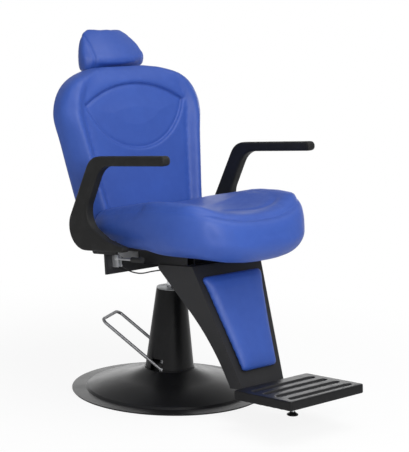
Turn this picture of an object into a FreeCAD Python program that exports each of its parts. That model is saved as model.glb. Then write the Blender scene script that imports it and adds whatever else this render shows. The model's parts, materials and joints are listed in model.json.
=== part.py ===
import FreeCAD
import Part
import math
import os

# Hydraulic barber chair: pedal pumped lift, swivel seat, reclining back, sliding headrest.
# World frame in millimetres: origin on the floor under the column, +Z up, chair facing -Y.

# Base and column
BASE_RADIUS = 300.0
STEP_RADIUS = 252.0
STEP_HEIGHT = 6.0
FLOOR_RING_THICKNESS = 2.5
FLOOR_RING_WIDTH = 88.0
FLOOR_RING_INSET = 2.0
COVER_SHEET = 2.0
DOME_TOP_Z = 70.0
PLATE_RADIUS = 234.0
PLATE_THICKNESS = 12.0
CASTING_RADIUS = 52.0
CASTING_TOP_Z = 86.0
CASTING_FLANGE_RADIUS = 68.0
CASTING_FLANGE_HEIGHT = 12.0
COLUMN_TOP_Z = 322.5
COLUMN_TOP_RADIUS = 45.5
COLUMN_BOTTOM_RADIUS = 75.0
COLUMN_SHEET = 1.5
COLUMN_COLLAR_WIDTH = 2.5
COLUMN_COLLAR_HEIGHT = 5.0
COLUMN_COLLAR_CHAMFER = 1.0
CAP_THICKNESS = 3.0
RESERVOIR_RADIUS = 42.0
RESERVOIR_WALL = 3.0
CYLINDER_WALL = 6.0
BUSH_HEIGHT = 14.0
BUSH_SPIGOT = 6.0

# Lift
PISTON_RADIUS = 14.0
PISTON_BOTTOM_Z = 130.0
LIFT_DOWN = 33.0
COLLAR_RADIUS = 20.0
COLLAR_HEIGHT = 5.0
WASHER_THICKNESS = 2.5
RUNNING_FIT = 0.05
STATIC_GAP = 0.1
END_GAP = 0.3

# Pump pedal
PEDAL_TURN = 28.0
PEDAL_RISE = 35.0
PEDAL_PIVOT_Z = 72.0
PEDAL_HALF_WIDTH = 66.75
PEDAL_LENGTH = 245.0
PEDAL_ROD_RADIUS = 5.0
PEDAL_BEND = 20.0
ROCKER_RADIUS = 8.0
ROCKER_HALF_LENGTH = 70.0
SLOT_BACK = 3.0
SLOT_LENGTH = 46.0
SLOT_TOP_Z = 107.0
SLOT_SIDE_GAP = 1.2

# Seat frame: everything above the swivel leans back by this angle
SEAT_TILT = 6.8
SEAT_ORIGIN_Z = 400.0
HUB_RADIUS = 22.0
HUB_PLATE_HALF = 60.0
HUB_PLATE_THICKNESS = 8.0
HUB_PLATE_TOP_W = 4.0
HUB_PLATE_REAR_V = 60.0
BEAM_FRONT_V = -24.0
BEAM_THICKNESS = 8.0
BEAM_BOTTOM_W = -4.0
BEAM_MIDDLE_W = 12.0
BEAM_END_W = 66.0
BEAM_END_RUN = 26.0
BEAM_END_BEND = 20.0
BEAM_SHOULDER_X = 200.0
BEAM_SHOULDER_W = 30.0
BEAM_SHOULDER_BEND = 60.0
BEAM_MIDDLE_HALF = 95.0
BEAM_MIDDLE_BEND = 80.0
ARM_INNER_X = 280.0
ARM_WIDTH = 30.0
END_PLATE_THICKNESS = 8.0
END_PLATE_FRONT_V = -72.0
END_PLATE_REAR_V = 36.0
END_PLATE_BOTTOM_W = 56.0
END_PLATE_TOP_W = 96.0
RAIL_WIDTH = 30.0
RAIL_OUTER_X = 134.0
RAIL_BOTTOM_W = 12.0
RAIL_TOP_W = 57.0
RAIL_WALL = 3.0
RAIL_REAR_V = 72.0
CROSSBAR_SIZE = 20.0
CROSSBAR_REAR_V = -105.0
CROSSBAR_FRONT_V = -196.0
PAN_SHEET = 3.0
PAN_HALF_WIDTH = 256.0
PAN_FRONT_V = -12.0
PAN_REAR_V = 60.0
PAN_SKIRT_W = 20.0
BOARD_THICKNESS = 15.0
BOARD_HALF_WIDTH = 212.0
BOARD_FRONT_V = -330.0
BOARD_REAR_V = 44.0
BOARD_FRONT_CORNER = 70.0
BOARD_REAR_CORNER = 20.0

# Arms, as a side outline in the seat frame
ARM_TIP_V = -335.0
ARM_TOP_W = 346.0
ARM_PAD_DEPTH = 29.0
ARM_UNDER_W = ARM_TOP_W - ARM_PAD_DEPTH
ARM_FOOT_FRONT_V = -135.0
ARM_FOOT_TIP_W = 82.0
ARM_WEDGE_V = -60.0
ARM_WEDGE_W = 101.0
ARM_WEDGE_BEND = 90.0
ARM_FOOT_BOTTOM_W = 68.0
ARM_OUTER_TOP_V = -11.7
ARM_OUTER_BOTTOM_V = 160.6
ARM_INNER_TOP_V = -54.5
ARM_INNER_BOTTOM_V = 39.0
ARM_INNER_BOTTOM_W = 159.0
ARM_OUTER_TOP_BEND = 63.0
ARM_OUTER_BOTTOM_BEND = 70.0
ARM_INNER_BOTTOM_BEND = 60.0
ARM_INNER_TOP_BEND = 70.0
ARM_TIP_BEND = 13.0
ARM_FOOT_BEND = 6.0
ARM_EDGE = 5.0
ARM_BOLT_VS = (-52.0, 16.0)
ARM_BOLT_W = 84.0
BOLT_RADIUS = 5.0
BOLT_HEAD_FLATS = 17.0
BOLT_HEAD_HEIGHT = 6.5
BOLT_DEPTH = 22.0

# Seat cushion in the seat frame
SEAT_HALF_WIDTH = 262.0
SEAT_CENTRE_V = -150.0
SEAT_FRONT_V = -430.0
SEAT_REAR_REACH = 320.0
SEAT_REAR_BOTTOM_V = 57.0
SEAT_FRONT_POWER = 3.0
SEAT_REAR_POWER = 5.0
SEAT_REAR_TOP_W = 175.0
SEAT_CREST_RISE = 30.0
SEAT_SCOOP = 48.0
SEAT_SCOOP_HALF_WIDTH = 215.0
SEAT_DISH = 36.0
SEAT_BOTTOM_W = 75.0
SEAT_BOTTOM_DROP = 38.0
SEAT_CHIN = 20.0
SEAT_REAR_CORNER = 14.0
SEAT_ROUND_START = 0.88
SEAT_UNDER_START = 0.80
SEAT_WIDEST = 0.42
SEAT_DROP_RUN = 400.0
SEAT_FLOOR_HALF_WIDTH = 220.0
SEAT_CHIN_START_V = -200.0
SEAT_CHIN_RUN = 200.0
SEAT_RISE_START_V = 100.0
SEAT_RISE_RUN = 300.0
SEAT_SCOOP_START_V = -150.0
SEAT_SCOOP_RUN = 230.0
SEAT_DISH_START_V = 60.0
SEAT_DISH_RUN = 160.0
SEAT_REAR_FULL = 0.997

# Leg rest and foot rest in the seat frame
LEG_TOP_W = 12.0
LEG_BOTTOM_W = -341.0
LEG_TOP_HALF = 140.0
LEG_BOTTOM_HALF = 86.4
LEG_SHEET = 6.0
LEG_FRONT_TOP_V = -243.0
LEG_FRONT_BOTTOM_V = -366.0
LEG_REAR_TOP_V = -93.0
LEG_REAR_BOTTOM_V = -316.0
LEG_REAR_STEP = 11.0
LEG_REAR_BEND = 20.0
LEG_KNEE_V = -267.6
LEG_KNEE_W = -203.8
LEG_KNEE_BEND = 600.0
LEG_CLEAR = 10.0
PAD_TOP_DISTANCE = 36.0
PAD_BOTTOM_DISTANCE = 333.0
PAD_TOP_HALF = 120.0
PAD_BOTTOM_HALF = 68.0
PAD_THICKNESS = 14.0
PAD_CROWN = 5.0
PAD_BEVEL = 10.0
PAD_CORNER = 12.0
FOOT_REAR_Y = -435.0
FOOT_REAR_Z = 117.0
FOOT_TILT = 4.15
FOOT_HALF_WIDTH = 152.0
FOOT_DEPTH = 226.6
FOOT_THICKNESS = 27.0
FOOT_CORNER = 8.0
FOOT_EDGE = 2.5
FOOT_SLOTS = 4
FOOT_SLOT_FIRST = 54.0
FOOT_SLOT_PITCH = 48.0
FOOT_SLOT_WIDTH = 22.0
FOOT_SLOT_HALF_LENGTH = 127.0
FOOT_SLOT_DEPTH = 4.0
TONGUE_SHEET = 6.0
TONGUE_REACH = 60.0
LEVELLER_Y = -527.0
LEVELLER_BOTTOM_Z = 37.0
LEVELLER_RADIUS = 16.5
LEVELLER_HEIGHT = 10.0
STEM_RADIUS = 5.0
STEM_NUT_FLATS = 17.0
STEM_NUT_HEIGHT = 6.0
STEM_SEAT_DEPTH = 4.0

# Backrest frame: leans back from upright, its front panel is the plane t = 0
BACK_LEAN = 15.0
BACK_ORIGIN_Y = 80.5
BACK_ORIGIN_Z = 470.0
BACK_BOTTOM_H = 30.0
BACK_TOP_H = 539.0
BACK_BOTTOM_HALF = 210.0
BACK_WIDEST_HALF = 280.0
BACK_WIDEST_H = 370.0
BACK_SHOULDER_POWER = 2.6
BACK_MIDDLE_T = 36.0
BACK_REAR_BOTTOM_T = 84.0
BACK_REAR_TOP_T = 58.0
BOLSTER_GROOVE = 0.72
BOLSTER_CREST = 0.84
BOLSTER_RISE = 12.0
BOLSTER_GROOVE_DEPTH = 5.0
PANEL_TIP_X = 193.0
PANEL_TIP_H = 415.0
PANEL_TOP_RISE = 57.0
PANEL_DROP = 138.0
PANEL_WELT_RADIUS = 4.0
PANEL_WELT_DEPTH = 2.5
BACK_PANEL_THICKNESS = 12.0
BACK_PANEL_INSET = 26.0
BACK_COVER_THICKNESS = 4.0
BACK_COVER_INSET = 14.0
BACK_CORNER = 60.0
BACK_SHOULDER_CORNER = 156.0
# How full the cushion's section is at a height above its bottom, or at a depth below its top
BACK_STEPS_UP = (
    (0, 0.70), (6, 0.90), (20, 0.985), (50, 1.0), (130, 1.0), (230, 1.0), (310, 1.0), (360, 1.0),
)
BACK_STEPS_DOWN = ((100, 1.0), (65, 0.985), (38, 0.94), (18, 0.84), (7, 0.70), (2, 0.52))

# Recline hinge and its locking strut
HINGE_Y = 110.0
HINGE_Z = 440.0
HINGE_SHAFT_RADIUS = 8.0
HINGE_EYE_RADIUS = 18.0
HINGE_SHEET = 8.0
HINGE_SIDE_GAP = 0.3
HINGE_ARM_RISE = 12.0
HINGE_ARM_NECK = 6.0
RECLINE_RANGE = 45.0
BRACKET_RIB = 25.0
BRACKET_TOP_H = 170.0
BRACKET_FLANGE_WIDTH = 40.0
BRACKET_FLANGE_SHEET = 5.0
BRACKET_FLANGE_LIFT = 8.0
BRACKET_BEND_DROP = 14.0
BRACKET_BEND = 8.0
BRACKET_TOP_DEPTH = 10.0
BRACKET_TOP_BEND = 4.0
BRACKET_RIB_BEND = 20.0
STRUT_X = 45.0
STRUT_W = -15.0
STRUT_RADIUS = 9.0
STRUT_ROD_RADIUS = 4.0
STRUT_FRONT_V = -82.0
STRUT_REAR_V = 44.0
STRUT_LUG_LENGTH = 20.0
STRUT_CAP = 12.0
STRUT_ROD_CLEAR = 2.0
STRUT_GAIN = 1.03
STRUT_PIN_RADIUS = 4.0
RECLINE_ARM_SHEET = 10.0
RECLINE_ARM_HALF = 12.0
FORK_SHEET = 6.0
FORK_REACH = 22.0
PIN_PLAY = 0.9

# Release lever and its cable
LEVER_X = -248.0
LEVER_V = -38.0
LEVER_W = 40.0
LEVER_CHEEK_SHEET = 3.0
LEVER_HUB_WIDTH = 9.0
LEVER_HUB_RADIUS = 7.0
LEVER_ROD_RADIUS = 4.0
LEVER_GRIP_RADIUS = 8.0
LEVER_GRIP_LENGTH = 45.0
LEVER_REACH = 112.0
LEVER_PIN_RADIUS = 3.0
LEVER_PIN_HEAD = 2.0
LEVER_BRACKET_REACH = 10.0
LEVER_BRACKET_DROP = 24.0
LEVER_BRACKET_RISE = 10.0
LEVER_END_CLEAR = 4.0
CABLE_RADIUS = 2.0
FERRULE_RADIUS = 3.5
FERRULE_LENGTH = 10.0
CABLE_BEND_SHARE = 0.45
# The cable's route from the strut's lug to the lever, chosen by hand in the seat frame
CABLE_ROUTE = (
    (-12, -90, -16), (-56, -83, -13), (-98, -74, -9), (-138, -65, -9),
    (-172, -56, -13), (-204, -50, -5), (-226, -45, 9), (-236, -43, 18),
)

# Headrest
HEAD_BEHIND = 106.0
HEAD_LEAN = 20.0
HEAD_TUCK = 7.6
HEAD_HEIGHT = 107.0
# Height, reach in front of the rear face and half width, from the bottom or down from the top
HEAD_STEPS_UP = ((0, 60, 104), (4, 70, 114), (14, 77, 120), (30, 71, 120), (55, 50, 113), (78, 26, 101))
HEAD_STEPS_DOWN = ((11, 4, 86), (3, -6, 73), (0, -11, 64))
POST_WIDTH = 40.0
POST_SHEET = 6.0
POST_T = 79.5
POST_CORNER = 4.0
POST_BOTTOM_H = BACK_TOP_H - 190.0
POST_TOP_H = BACK_TOP_H + 90.0
HEAD_BOARD_SHEET = 8.0
HEAD_BOARD_HALF = 60.0
HEAD_BOARD_LOW_CORNER = 10.0
HEAD_BOARD_HIGH_CORNER = 25.0
HEAD_BOARD_BOTTOM_H = BACK_TOP_H + 26.0
HEAD_BOARD_TOP_H = BACK_TOP_H + 102.0
GUIDE_BOTTOM_H = BACK_TOP_H - 130.0
GUIDE_LENGTH = 90.0
GUIDE_WALL = 5.0
KNOB_RADIUS = 15.0
KNOB_HEIGHT = 18.0
KNOB_STEM_END = 3.0

# Reach of the tools that cut a piece right through, beyond its own size
FAR = 200.0

V = FreeCAD.Vector
X_AXIS = V(1, 0, 0)
Y_AXIS = V(0, 1, 0)
Z_AXIS = V(0, 0, 1)
SEAT = FreeCAD.Placement(V(0, 0, SEAT_ORIGIN_Z), FreeCAD.Rotation(X_AXIS, -SEAT_TILT))
BACK = FreeCAD.Placement(V(0, BACK_ORIGIN_Y, BACK_ORIGIN_Z), FreeCAD.Rotation(X_AXIS, -BACK_LEAN))
FOOT = FreeCAD.Placement(V(0, FOOT_REAR_Y, FOOT_REAR_Z), FreeCAD.Rotation(X_AXIS, -FOOT_TILT))
PEDAL = FreeCAD.Placement(V(0, 0, PEDAL_PIVOT_Z), FreeCAD.Rotation(Z_AXIS, PEDAL_TURN))
HINGE_IN_SEAT = SEAT.inverse().multVec(V(0, HINGE_Y, HINGE_Z))
HINGE_IN_BACK = BACK.inverse().multVec(V(0, HINGE_Y, HINGE_Z))
BACK_TOP = BACK.multVec(V(0, 0, BACK_TOP_H))
HINGE_V = HINGE_IN_SEAT.y
HINGE_W = HINGE_IN_SEAT.z
CAP_BOTTOM_Z = COLUMN_TOP_Z - CAP_THICKNESS
COLLAR_BOTTOM_Z = COLUMN_TOP_Z + LIFT_DOWN + END_GAP
WASHER_TOP_Z = COLLAR_BOTTOM_Z + COLLAR_HEIGHT + WASHER_THICKNESS
PLATE_TOP_Z = FLOOR_RING_THICKNESS + PLATE_THICKNESS


def placed(shape, placement):
    """The shape moved from a local frame into the world frame."""
    moved = shape.copy()
    moved.Placement = placement.multiply(moved.Placement)
    return moved


def box(x0, x1, y0, y1, z0, z1):
    """A box between two corners."""
    return Part.makeBox(x1 - x0, y1 - y0, z1 - z0, V(x0, y0, z0))


def rod(start, end, radius):
    """A round bar from one point to another."""
    return Part.makeCylinder(radius, (end - start).Length, start, end - start)


def rounded_wire(corners, point):
    """A closed outline with its corners rounded: each corner is (a, b, radius)."""
    count = len(corners)
    entries = []
    for index, (a, b, radius) in enumerate(corners):
        here = V(a, b, 0)
        before = V(corners[index - 1][0], corners[index - 1][1], 0)
        after = V(corners[(index + 1) % count][0], corners[(index + 1) % count][1], 0)
        if radius == 0:
            entries.append((here, None, here))
            continue
        back = (before - here).normalize()
        on = (after - here).normalize()
        half = back.getAngle(on) / 2
        reach = radius / math.tan(half)
        centre = here + (back + on).normalize() * (radius / math.sin(half))
        middle = centre + (here - centre).normalize() * radius
        entries.append((here + back * reach, middle, here + on * reach))
    edges = []
    for index, (start, middle, end) in enumerate(entries):
        if middle is not None:
            edges.append(Part.Arc(point(start), point(middle), point(end)).toShape())
        following = entries[(index + 1) % count][0]
        if (following - end).Length > 1e-6:
            edges.append(Part.LineSegment(point(end), point(following)).toShape())
    return Part.Wire(edges)


def side_prism(corners, x0, x1):
    """An outline in the (y, z) plane given thickness along x."""
    wire = rounded_wire(corners, lambda p: V(x0, p.x, p.y))
    return Part.Face(wire).extrude(V(x1 - x0, 0, 0))


def front_prism(corners, y0, y1):
    """An outline in the (x, z) plane given thickness along y."""
    wire = rounded_wire(corners, lambda p: V(p.x, y0, p.y))
    return Part.Face(wire).extrude(V(0, y1 - y0, 0))


def flat_prism(corners, z0, z1):
    """An outline in the (x, y) plane given thickness along z."""
    wire = rounded_wire(corners, lambda p: V(p.x, p.y, z0))
    return Part.Face(wire).extrude(V(0, 0, z1 - z0))


def turned(corners):
    """An outline of (radius, height, rounding) corners turned about the vertical axis."""
    wire = rounded_wire(corners, lambda p: V(p.x, 0, p.y))
    return Part.Face(wire).revolve(V(0, 0, 0), Z_AXIS, 360)


def hexagon(centre, flats, height, axis):
    """A hexagonal head or nut standing on the centre point along the axis."""
    reach = flats / math.sqrt(3)
    points = []
    for step in range(7):
        angle = math.radians(60 * step)
        points.append(V(reach * math.cos(angle), reach * math.sin(angle), 0))
    body = Part.Face(Part.makePolygon(points)).extrude(V(0, 0, height))
    turn = FreeCAD.Rotation(Z_AXIS, axis)
    return placed(body, FreeCAD.Placement(centre, turn))


def mirrored(shape):
    """The same piece on the other side of the chair."""
    return shape.mirror(V(0, 0, 0), X_AXIS)


def smooth(value):
    """A soft step from 0 to 1."""
    value = max(0.0, min(1.0, value))
    return value * value * (3 - 2 * value)


def arc(a, b, c):
    """An arc edge through three points."""
    return Part.Arc(a, b, c).toShape()


def line(a, b):
    """A straight edge between two points."""
    return Part.LineSegment(a, b).toShape()


# Base and column


def dome_edges(drop):
    """The dome's outline from its rim to its top, moved down by a distance."""
    rim = V(BASE_RADIUS, 0, FLOOR_RING_THICKNESS + COVER_SHEET - drop)
    flange = V(STEP_RADIUS + STEP_HEIGHT, 0, rim.z + 1.5)
    step = V(STEP_RADIUS, 0, flange.z + STEP_HEIGHT)
    top = V(COLUMN_BOTTOM_RADIUS + COLUMN_COLLAR_WIDTH, 0, DOME_TOP_Z - drop)
    rise = top.z - step.z
    run = step.x - top.x
    shoulder = V(step.x - 0.59 * run, 0, step.z + 0.57 * rise)
    outer = V(step.x - 0.27 * run, 0, step.z + 0.31 * rise)
    inner = V(step.x - 0.81 * run, 0, step.z + 0.76 * rise)
    edges = [
        line(rim, flange),
        line(flange, step),
        arc(step, outer, shoulder),
        arc(shoulder, inner, top),
    ]
    return edges, rim, top


def base_cover():
    """The spun steel dome with its flat rim and the seat of the column cover."""
    above, rim, top = dome_edges(0)
    below, rim_low, top_low = dome_edges(COVER_SHEET)
    hole = COLUMN_BOTTOM_RADIUS - COLUMN_SHEET + STATIC_GAP
    seat = V(hole, 0, top.z)
    seat_low = V(hole, 0, top_low.z)
    edges = above + [line(top, seat), line(seat, seat_low), line(seat_low, top_low)]
    edges = edges + below + [line(rim_low, rim)]
    wire = Part.Wire(Part.__sortEdges__(edges))
    return Part.Face(wire).revolve(V(0, 0, 0), Z_AXIS, 360)


def floor_ring():
    """The rubber ring under the rim, wide enough to carry the base plate as well."""
    outer = BASE_RADIUS - FLOOR_RING_INSET
    inner = outer - FLOOR_RING_WIDTH
    ring = Part.makeCylinder(outer, FLOOR_RING_THICKNESS)
    return ring.cut(Part.makeCylinder(inner, FLOOR_RING_THICKNESS))


def base_plate():
    """The heavy steel disc that carries the pump."""
    return Part.makeCylinder(PLATE_RADIUS, PLATE_THICKNESS, V(0, 0, FLOOR_RING_THICKNESS))


def pump_casting():
    """The pump's cast foot, bored for the rocker shaft."""
    flange = Part.makeCylinder(CASTING_FLANGE_RADIUS, CASTING_FLANGE_HEIGHT, V(0, 0, PLATE_TOP_Z))
    body = Part.makeCylinder(CASTING_RADIUS, CASTING_TOP_Z - PLATE_TOP_Z, V(0, 0, PLATE_TOP_Z))
    reach = V(BASE_RADIUS, 0, 0)
    bore = placed(rod(V(0, 0, 0) - reach, reach, ROCKER_RADIUS + RUNNING_FIT), PEDAL)
    return flange.fuse(body).removeSplitter().cut(bore)


def reservoir_tube():
    """The oil reservoir's outer tube."""
    height = CAP_BOTTOM_Z - BUSH_HEIGHT - CASTING_TOP_Z
    foot = V(0, 0, CASTING_TOP_Z)
    tube = Part.makeCylinder(RESERVOIR_RADIUS, height, foot)
    return tube.cut(Part.makeCylinder(RESERVOIR_RADIUS - RESERVOIR_WALL, height, foot))


def pump_cylinder():
    """The cylinder that the piston rises in."""
    height = CAP_BOTTOM_Z - BUSH_HEIGHT - BUSH_SPIGOT - CASTING_TOP_Z
    foot = V(0, 0, CASTING_TOP_Z)
    bore = PISTON_RADIUS + END_GAP
    tube = Part.makeCylinder(bore + CYLINDER_WALL, height, foot)
    return tube.cut(Part.makeCylinder(bore, height, foot))


def guide_bush():
    """The gland that closes the reservoir and guides the piston."""
    flange_z = CAP_BOTTOM_Z - BUSH_HEIGHT
    flange = Part.makeCylinder(RESERVOIR_RADIUS, BUSH_HEIGHT, V(0, 0, flange_z))
    spigot_radius = RESERVOIR_RADIUS - RESERVOIR_WALL - STATIC_GAP
    spigot = Part.makeCylinder(spigot_radius, BUSH_SPIGOT, V(0, 0, flange_z - BUSH_SPIGOT))
    bore = Part.makeCylinder(PISTON_RADIUS + RUNNING_FIT, COLUMN_TOP_Z)
    return flange.fuse(spigot).removeSplitter().cut(bore)


def column_cover():
    """The tapered cover over the pump, open where the pedal's two rods come out."""
    collar_radius = COLUMN_BOTTOM_RADIUS + COLUMN_COLLAR_WIDTH
    collar_z = DOME_TOP_Z + COLUMN_COLLAR_HEIGHT
    slope = (COLUMN_BOTTOM_RADIUS - COLUMN_TOP_RADIUS) / (CAP_BOTTOM_Z - DOME_TOP_Z)
    collar_top_radius = COLUMN_BOTTOM_RADIUS - slope * COLUMN_COLLAR_HEIGHT
    shell = turned([
        (COLUMN_BOTTOM_RADIUS - COLUMN_SHEET, DOME_TOP_Z, 0),
        (collar_radius, DOME_TOP_Z, 0),
        (collar_radius, collar_z - COLUMN_COLLAR_CHAMFER, 0),
        (collar_radius - COLUMN_COLLAR_CHAMFER, collar_z, 0),
        (collar_top_radius, collar_z, 0),
        (COLUMN_TOP_RADIUS, CAP_BOTTOM_Z, 0),
        (COLUMN_TOP_RADIUS - COLUMN_SHEET, CAP_BOTTOM_Z, 0),
    ])
    inner = PEDAL_HALF_WIDTH - PEDAL_ROD_RADIUS - SLOT_SIDE_GAP
    low = DOME_TOP_Z - PEDAL_PIVOT_Z
    high = SLOT_TOP_Z - PEDAL_PIVOT_Z
    slot = box(inner, BASE_RADIUS, -SLOT_BACK, SLOT_LENGTH, low, high)
    shell = shell.cut(placed(slot, PEDAL))
    return shell.cut(placed(mirrored(slot), PEDAL))


def column_cap():
    """The pale ring that closes the top of the column around the piston."""
    cap = Part.makeCylinder(COLUMN_TOP_RADIUS, CAP_THICKNESS, V(0, 0, CAP_BOTTOM_Z))
    bore = Part.makeCylinder(PISTON_RADIUS + END_GAP, CAP_THICKNESS, V(0, 0, CAP_BOTTOM_Z))
    cap = cap.cut(bore)
    top_edges = [edge for edge in cap.Edges if edge.BoundBox.ZMin > COLUMN_TOP_Z - 0.01]
    return cap.makeChamfer(0.8, top_edges)


def piston():
    """The ground lift piston with its thrust collar."""
    top = SEAT_ORIGIN_Z
    shaft = Part.makeCylinder(PISTON_RADIUS, top - PISTON_BOTTOM_Z, V(0, 0, PISTON_BOTTOM_Z))
    shaft = shaft.makeChamfer(1.0, [edge for edge in shaft.Edges if edge.BoundBox.ZMin > top - 0.01])
    collar = Part.makeCylinder(COLLAR_RADIUS, COLLAR_HEIGHT, V(0, 0, COLLAR_BOTTOM_Z))
    return shaft.fuse(collar).removeSplitter()


def thrust_washer():
    """The bronze washer that the seat turns on."""
    foot = V(0, 0, COLLAR_BOTTOM_Z + COLLAR_HEIGHT)
    ring = Part.makeCylinder(COLLAR_RADIUS, WASHER_THICKNESS, foot)
    return ring.cut(Part.makeCylinder(PISTON_RADIUS + STATIC_GAP, WASHER_THICKNESS, foot))


# Pump pedal, drawn in its own frame: x along the rocker shaft, y towards the loop


def rocker_shaft():
    """The cross shaft that the pedal rocks about."""
    reach = V(ROCKER_HALF_LENGTH, 0, 0)
    return placed(rod(V(0, 0, 0) - reach, reach, ROCKER_RADIUS), PEDAL)


def pedal_loop():
    """The bent steel rod: two side runs joined by a cross bar."""
    half = PEDAL_HALF_WIDTH
    bend = PEDAL_BEND
    inset = bend * (1 - math.sqrt(0.5))
    far = PEDAL_LENGTH
    path = Part.Wire([
        line(V(-half, 0, 0), V(-half, far - bend, 0)),
        arc(V(-half, far - bend, 0), V(-half + inset, far - inset, 0), V(-half + bend, far, 0)),
        line(V(-half + bend, far, 0), V(half - bend, far, 0)),
        arc(V(half - bend, far, 0), V(half - inset, far - inset, 0), V(half, far - bend, 0)),
        line(V(half, far - bend, 0), V(half, 0, 0)),
    ])
    section = Part.Wire(Part.makeCircle(PEDAL_ROD_RADIUS, V(-half, 0, 0), Y_AXIS))
    loop = path.makePipeShell([section], True, False)
    rise = FreeCAD.Placement(V(0, 0, 0), FreeCAD.Rotation(X_AXIS, PEDAL_RISE))
    loop = placed(placed(loop, rise), PEDAL)
    return loop.cut(rocker_shaft())


# Pieces of the seat frame, drawn as (x, v, w): v towards the rear, w up


def seat_hub():
    """The swivel socket on the piston with the plate that carries the seat frame."""
    low = WASHER_TOP_Z + STATIC_GAP
    socket = Part.makeCylinder(HUB_RADIUS, SEAT_ORIGIN_Z + HUB_RADIUS - low, V(0, 0, low))
    bottom = HUB_PLATE_TOP_W - HUB_PLATE_THICKNESS
    above = placed(box(-FAR, FAR, -FAR, FAR, bottom, FAR), SEAT)
    front = CROSSBAR_REAR_V
    plate = box(-HUB_PLATE_HALF, HUB_PLATE_HALF, front, HUB_PLATE_REAR_V, bottom, HUB_PLATE_TOP_W)
    hub = socket.cut(above).fuse(placed(plate, SEAT))
    bore_top = SEAT_ORIGIN_Z + END_GAP
    return hub.cut(Part.makeCylinder(PISTON_RADIUS + RUNNING_FIT, bore_top - low, V(0, 0, low)))


def arm_beam():
    """The cross beam: a cut plate with an end plate for each arm."""
    low = BEAM_BOTTOM_W
    half = HUB_PLATE_HALF
    outline = [(-ARM_INNER_X, low, 0), (-half, low, 0), (-half, HUB_PLATE_TOP_W, 0)]
    outline += [(half, HUB_PLATE_TOP_W, 0), (half, low, 0), (ARM_INNER_X, low, 0)]
    outline += [(ARM_INNER_X, BEAM_END_W, 0), (ARM_INNER_X - BEAM_END_RUN, BEAM_END_W, BEAM_END_BEND)]
    outline += [
        (BEAM_SHOULDER_X, BEAM_SHOULDER_W, BEAM_SHOULDER_BEND),
        (BEAM_MIDDLE_HALF, BEAM_MIDDLE_W, BEAM_MIDDLE_BEND),
        (-BEAM_MIDDLE_HALF, BEAM_MIDDLE_W, BEAM_MIDDLE_BEND),
        (-BEAM_SHOULDER_X, BEAM_SHOULDER_W, BEAM_SHOULDER_BEND),
        (BEAM_END_RUN - ARM_INNER_X, BEAM_END_W, BEAM_END_BEND),
        (-ARM_INNER_X, BEAM_END_W, 0),
    ]
    beam = front_prism(outline, BEAM_FRONT_V, BEAM_FRONT_V + BEAM_THICKNESS)
    inner = ARM_INNER_X - END_PLATE_THICKNESS
    end = side_prism([
        (END_PLATE_FRONT_V, END_PLATE_BOTTOM_W, 8),
        (END_PLATE_REAR_V, END_PLATE_BOTTOM_W, 8),
        (END_PLATE_REAR_V, END_PLATE_TOP_W, 8),
        (END_PLATE_FRONT_V, END_PLATE_TOP_W, 8),
    ], inner, ARM_INNER_X)
    for v in ARM_BOLT_VS:
        hole = rod(V(0, v, ARM_BOLT_W), V(ARM_INNER_X + 1, v, ARM_BOLT_W), BOLT_RADIUS + STATIC_GAP)
        end = end.cut(hole)
    return placed(beam.fuse(end).fuse(mirrored(end)).removeSplitter(), SEAT)


def seat_rail():
    """The left rail: a box section that sits on the cross beam and the crossbars."""
    inner = RAIL_OUTER_X - RAIL_WIDTH
    front = CROSSBAR_FRONT_V - CROSSBAR_SIZE
    tube = box(inner, RAIL_OUTER_X, front, RAIL_REAR_V, RAIL_BOTTOM_W, RAIL_TOP_W)
    wall = RAIL_WALL
    low = RAIL_BOTTOM_W + wall
    high = RAIL_TOP_W - wall
    hollow = box(inner + wall, RAIL_OUTER_X - wall, front, RAIL_REAR_V, low, high)
    return placed(tube.cut(hollow), SEAT).cut(arm_beam())


def leg_half(w):
    """Half the outer width of the leg rest at a height, between its inclined side plates."""
    share = (w - LEG_BOTTOM_W) / (LEG_TOP_W - LEG_BOTTOM_W)
    return LEG_BOTTOM_HALF + (LEG_TOP_HALF - LEG_BOTTOM_HALF) * share


def leg_sheet_run():
    """The side plates' thickness, measured level across the chair."""
    slope = math.atan2(LEG_TOP_HALF - LEG_BOTTOM_HALF, LEG_TOP_W - LEG_BOTTOM_W)
    return LEG_SHEET / math.cos(slope)


def between_leg_plates():
    """The wedge of space between the two side plates."""
    run = leg_sheet_run()
    top = leg_half(LEG_TOP_W) - run
    bottom = leg_half(LEG_BOTTOM_W) - run
    corners = [
        (-bottom, LEG_BOTTOM_W, 0),
        (bottom, LEG_BOTTOM_W, 0),
        (top, LEG_TOP_W, 0),
        (-top, LEG_TOP_W, 0),
    ]
    return front_prism(corners, LEG_FRONT_BOTTOM_V - LEG_CLEAR, 0)


def crossbar(front):
    """A square bar welded between the leg rest's side plates, under the rails."""
    reach = LEG_TOP_HALF
    bar = box(-reach, reach, front, front + CROSSBAR_SIZE, RAIL_BOTTOM_W - CROSSBAR_SIZE, RAIL_BOTTOM_W)
    return placed(bar.common(between_leg_plates()), SEAT)


def crossbar_rear():
    """The bar that the hub plate butts against."""
    return crossbar(CROSSBAR_REAR_V - CROSSBAR_SIZE)


def crossbar_front():
    """The bar at the front end of the rails."""
    return crossbar(CROSSBAR_FRONT_V - CROSSBAR_SIZE)


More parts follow.
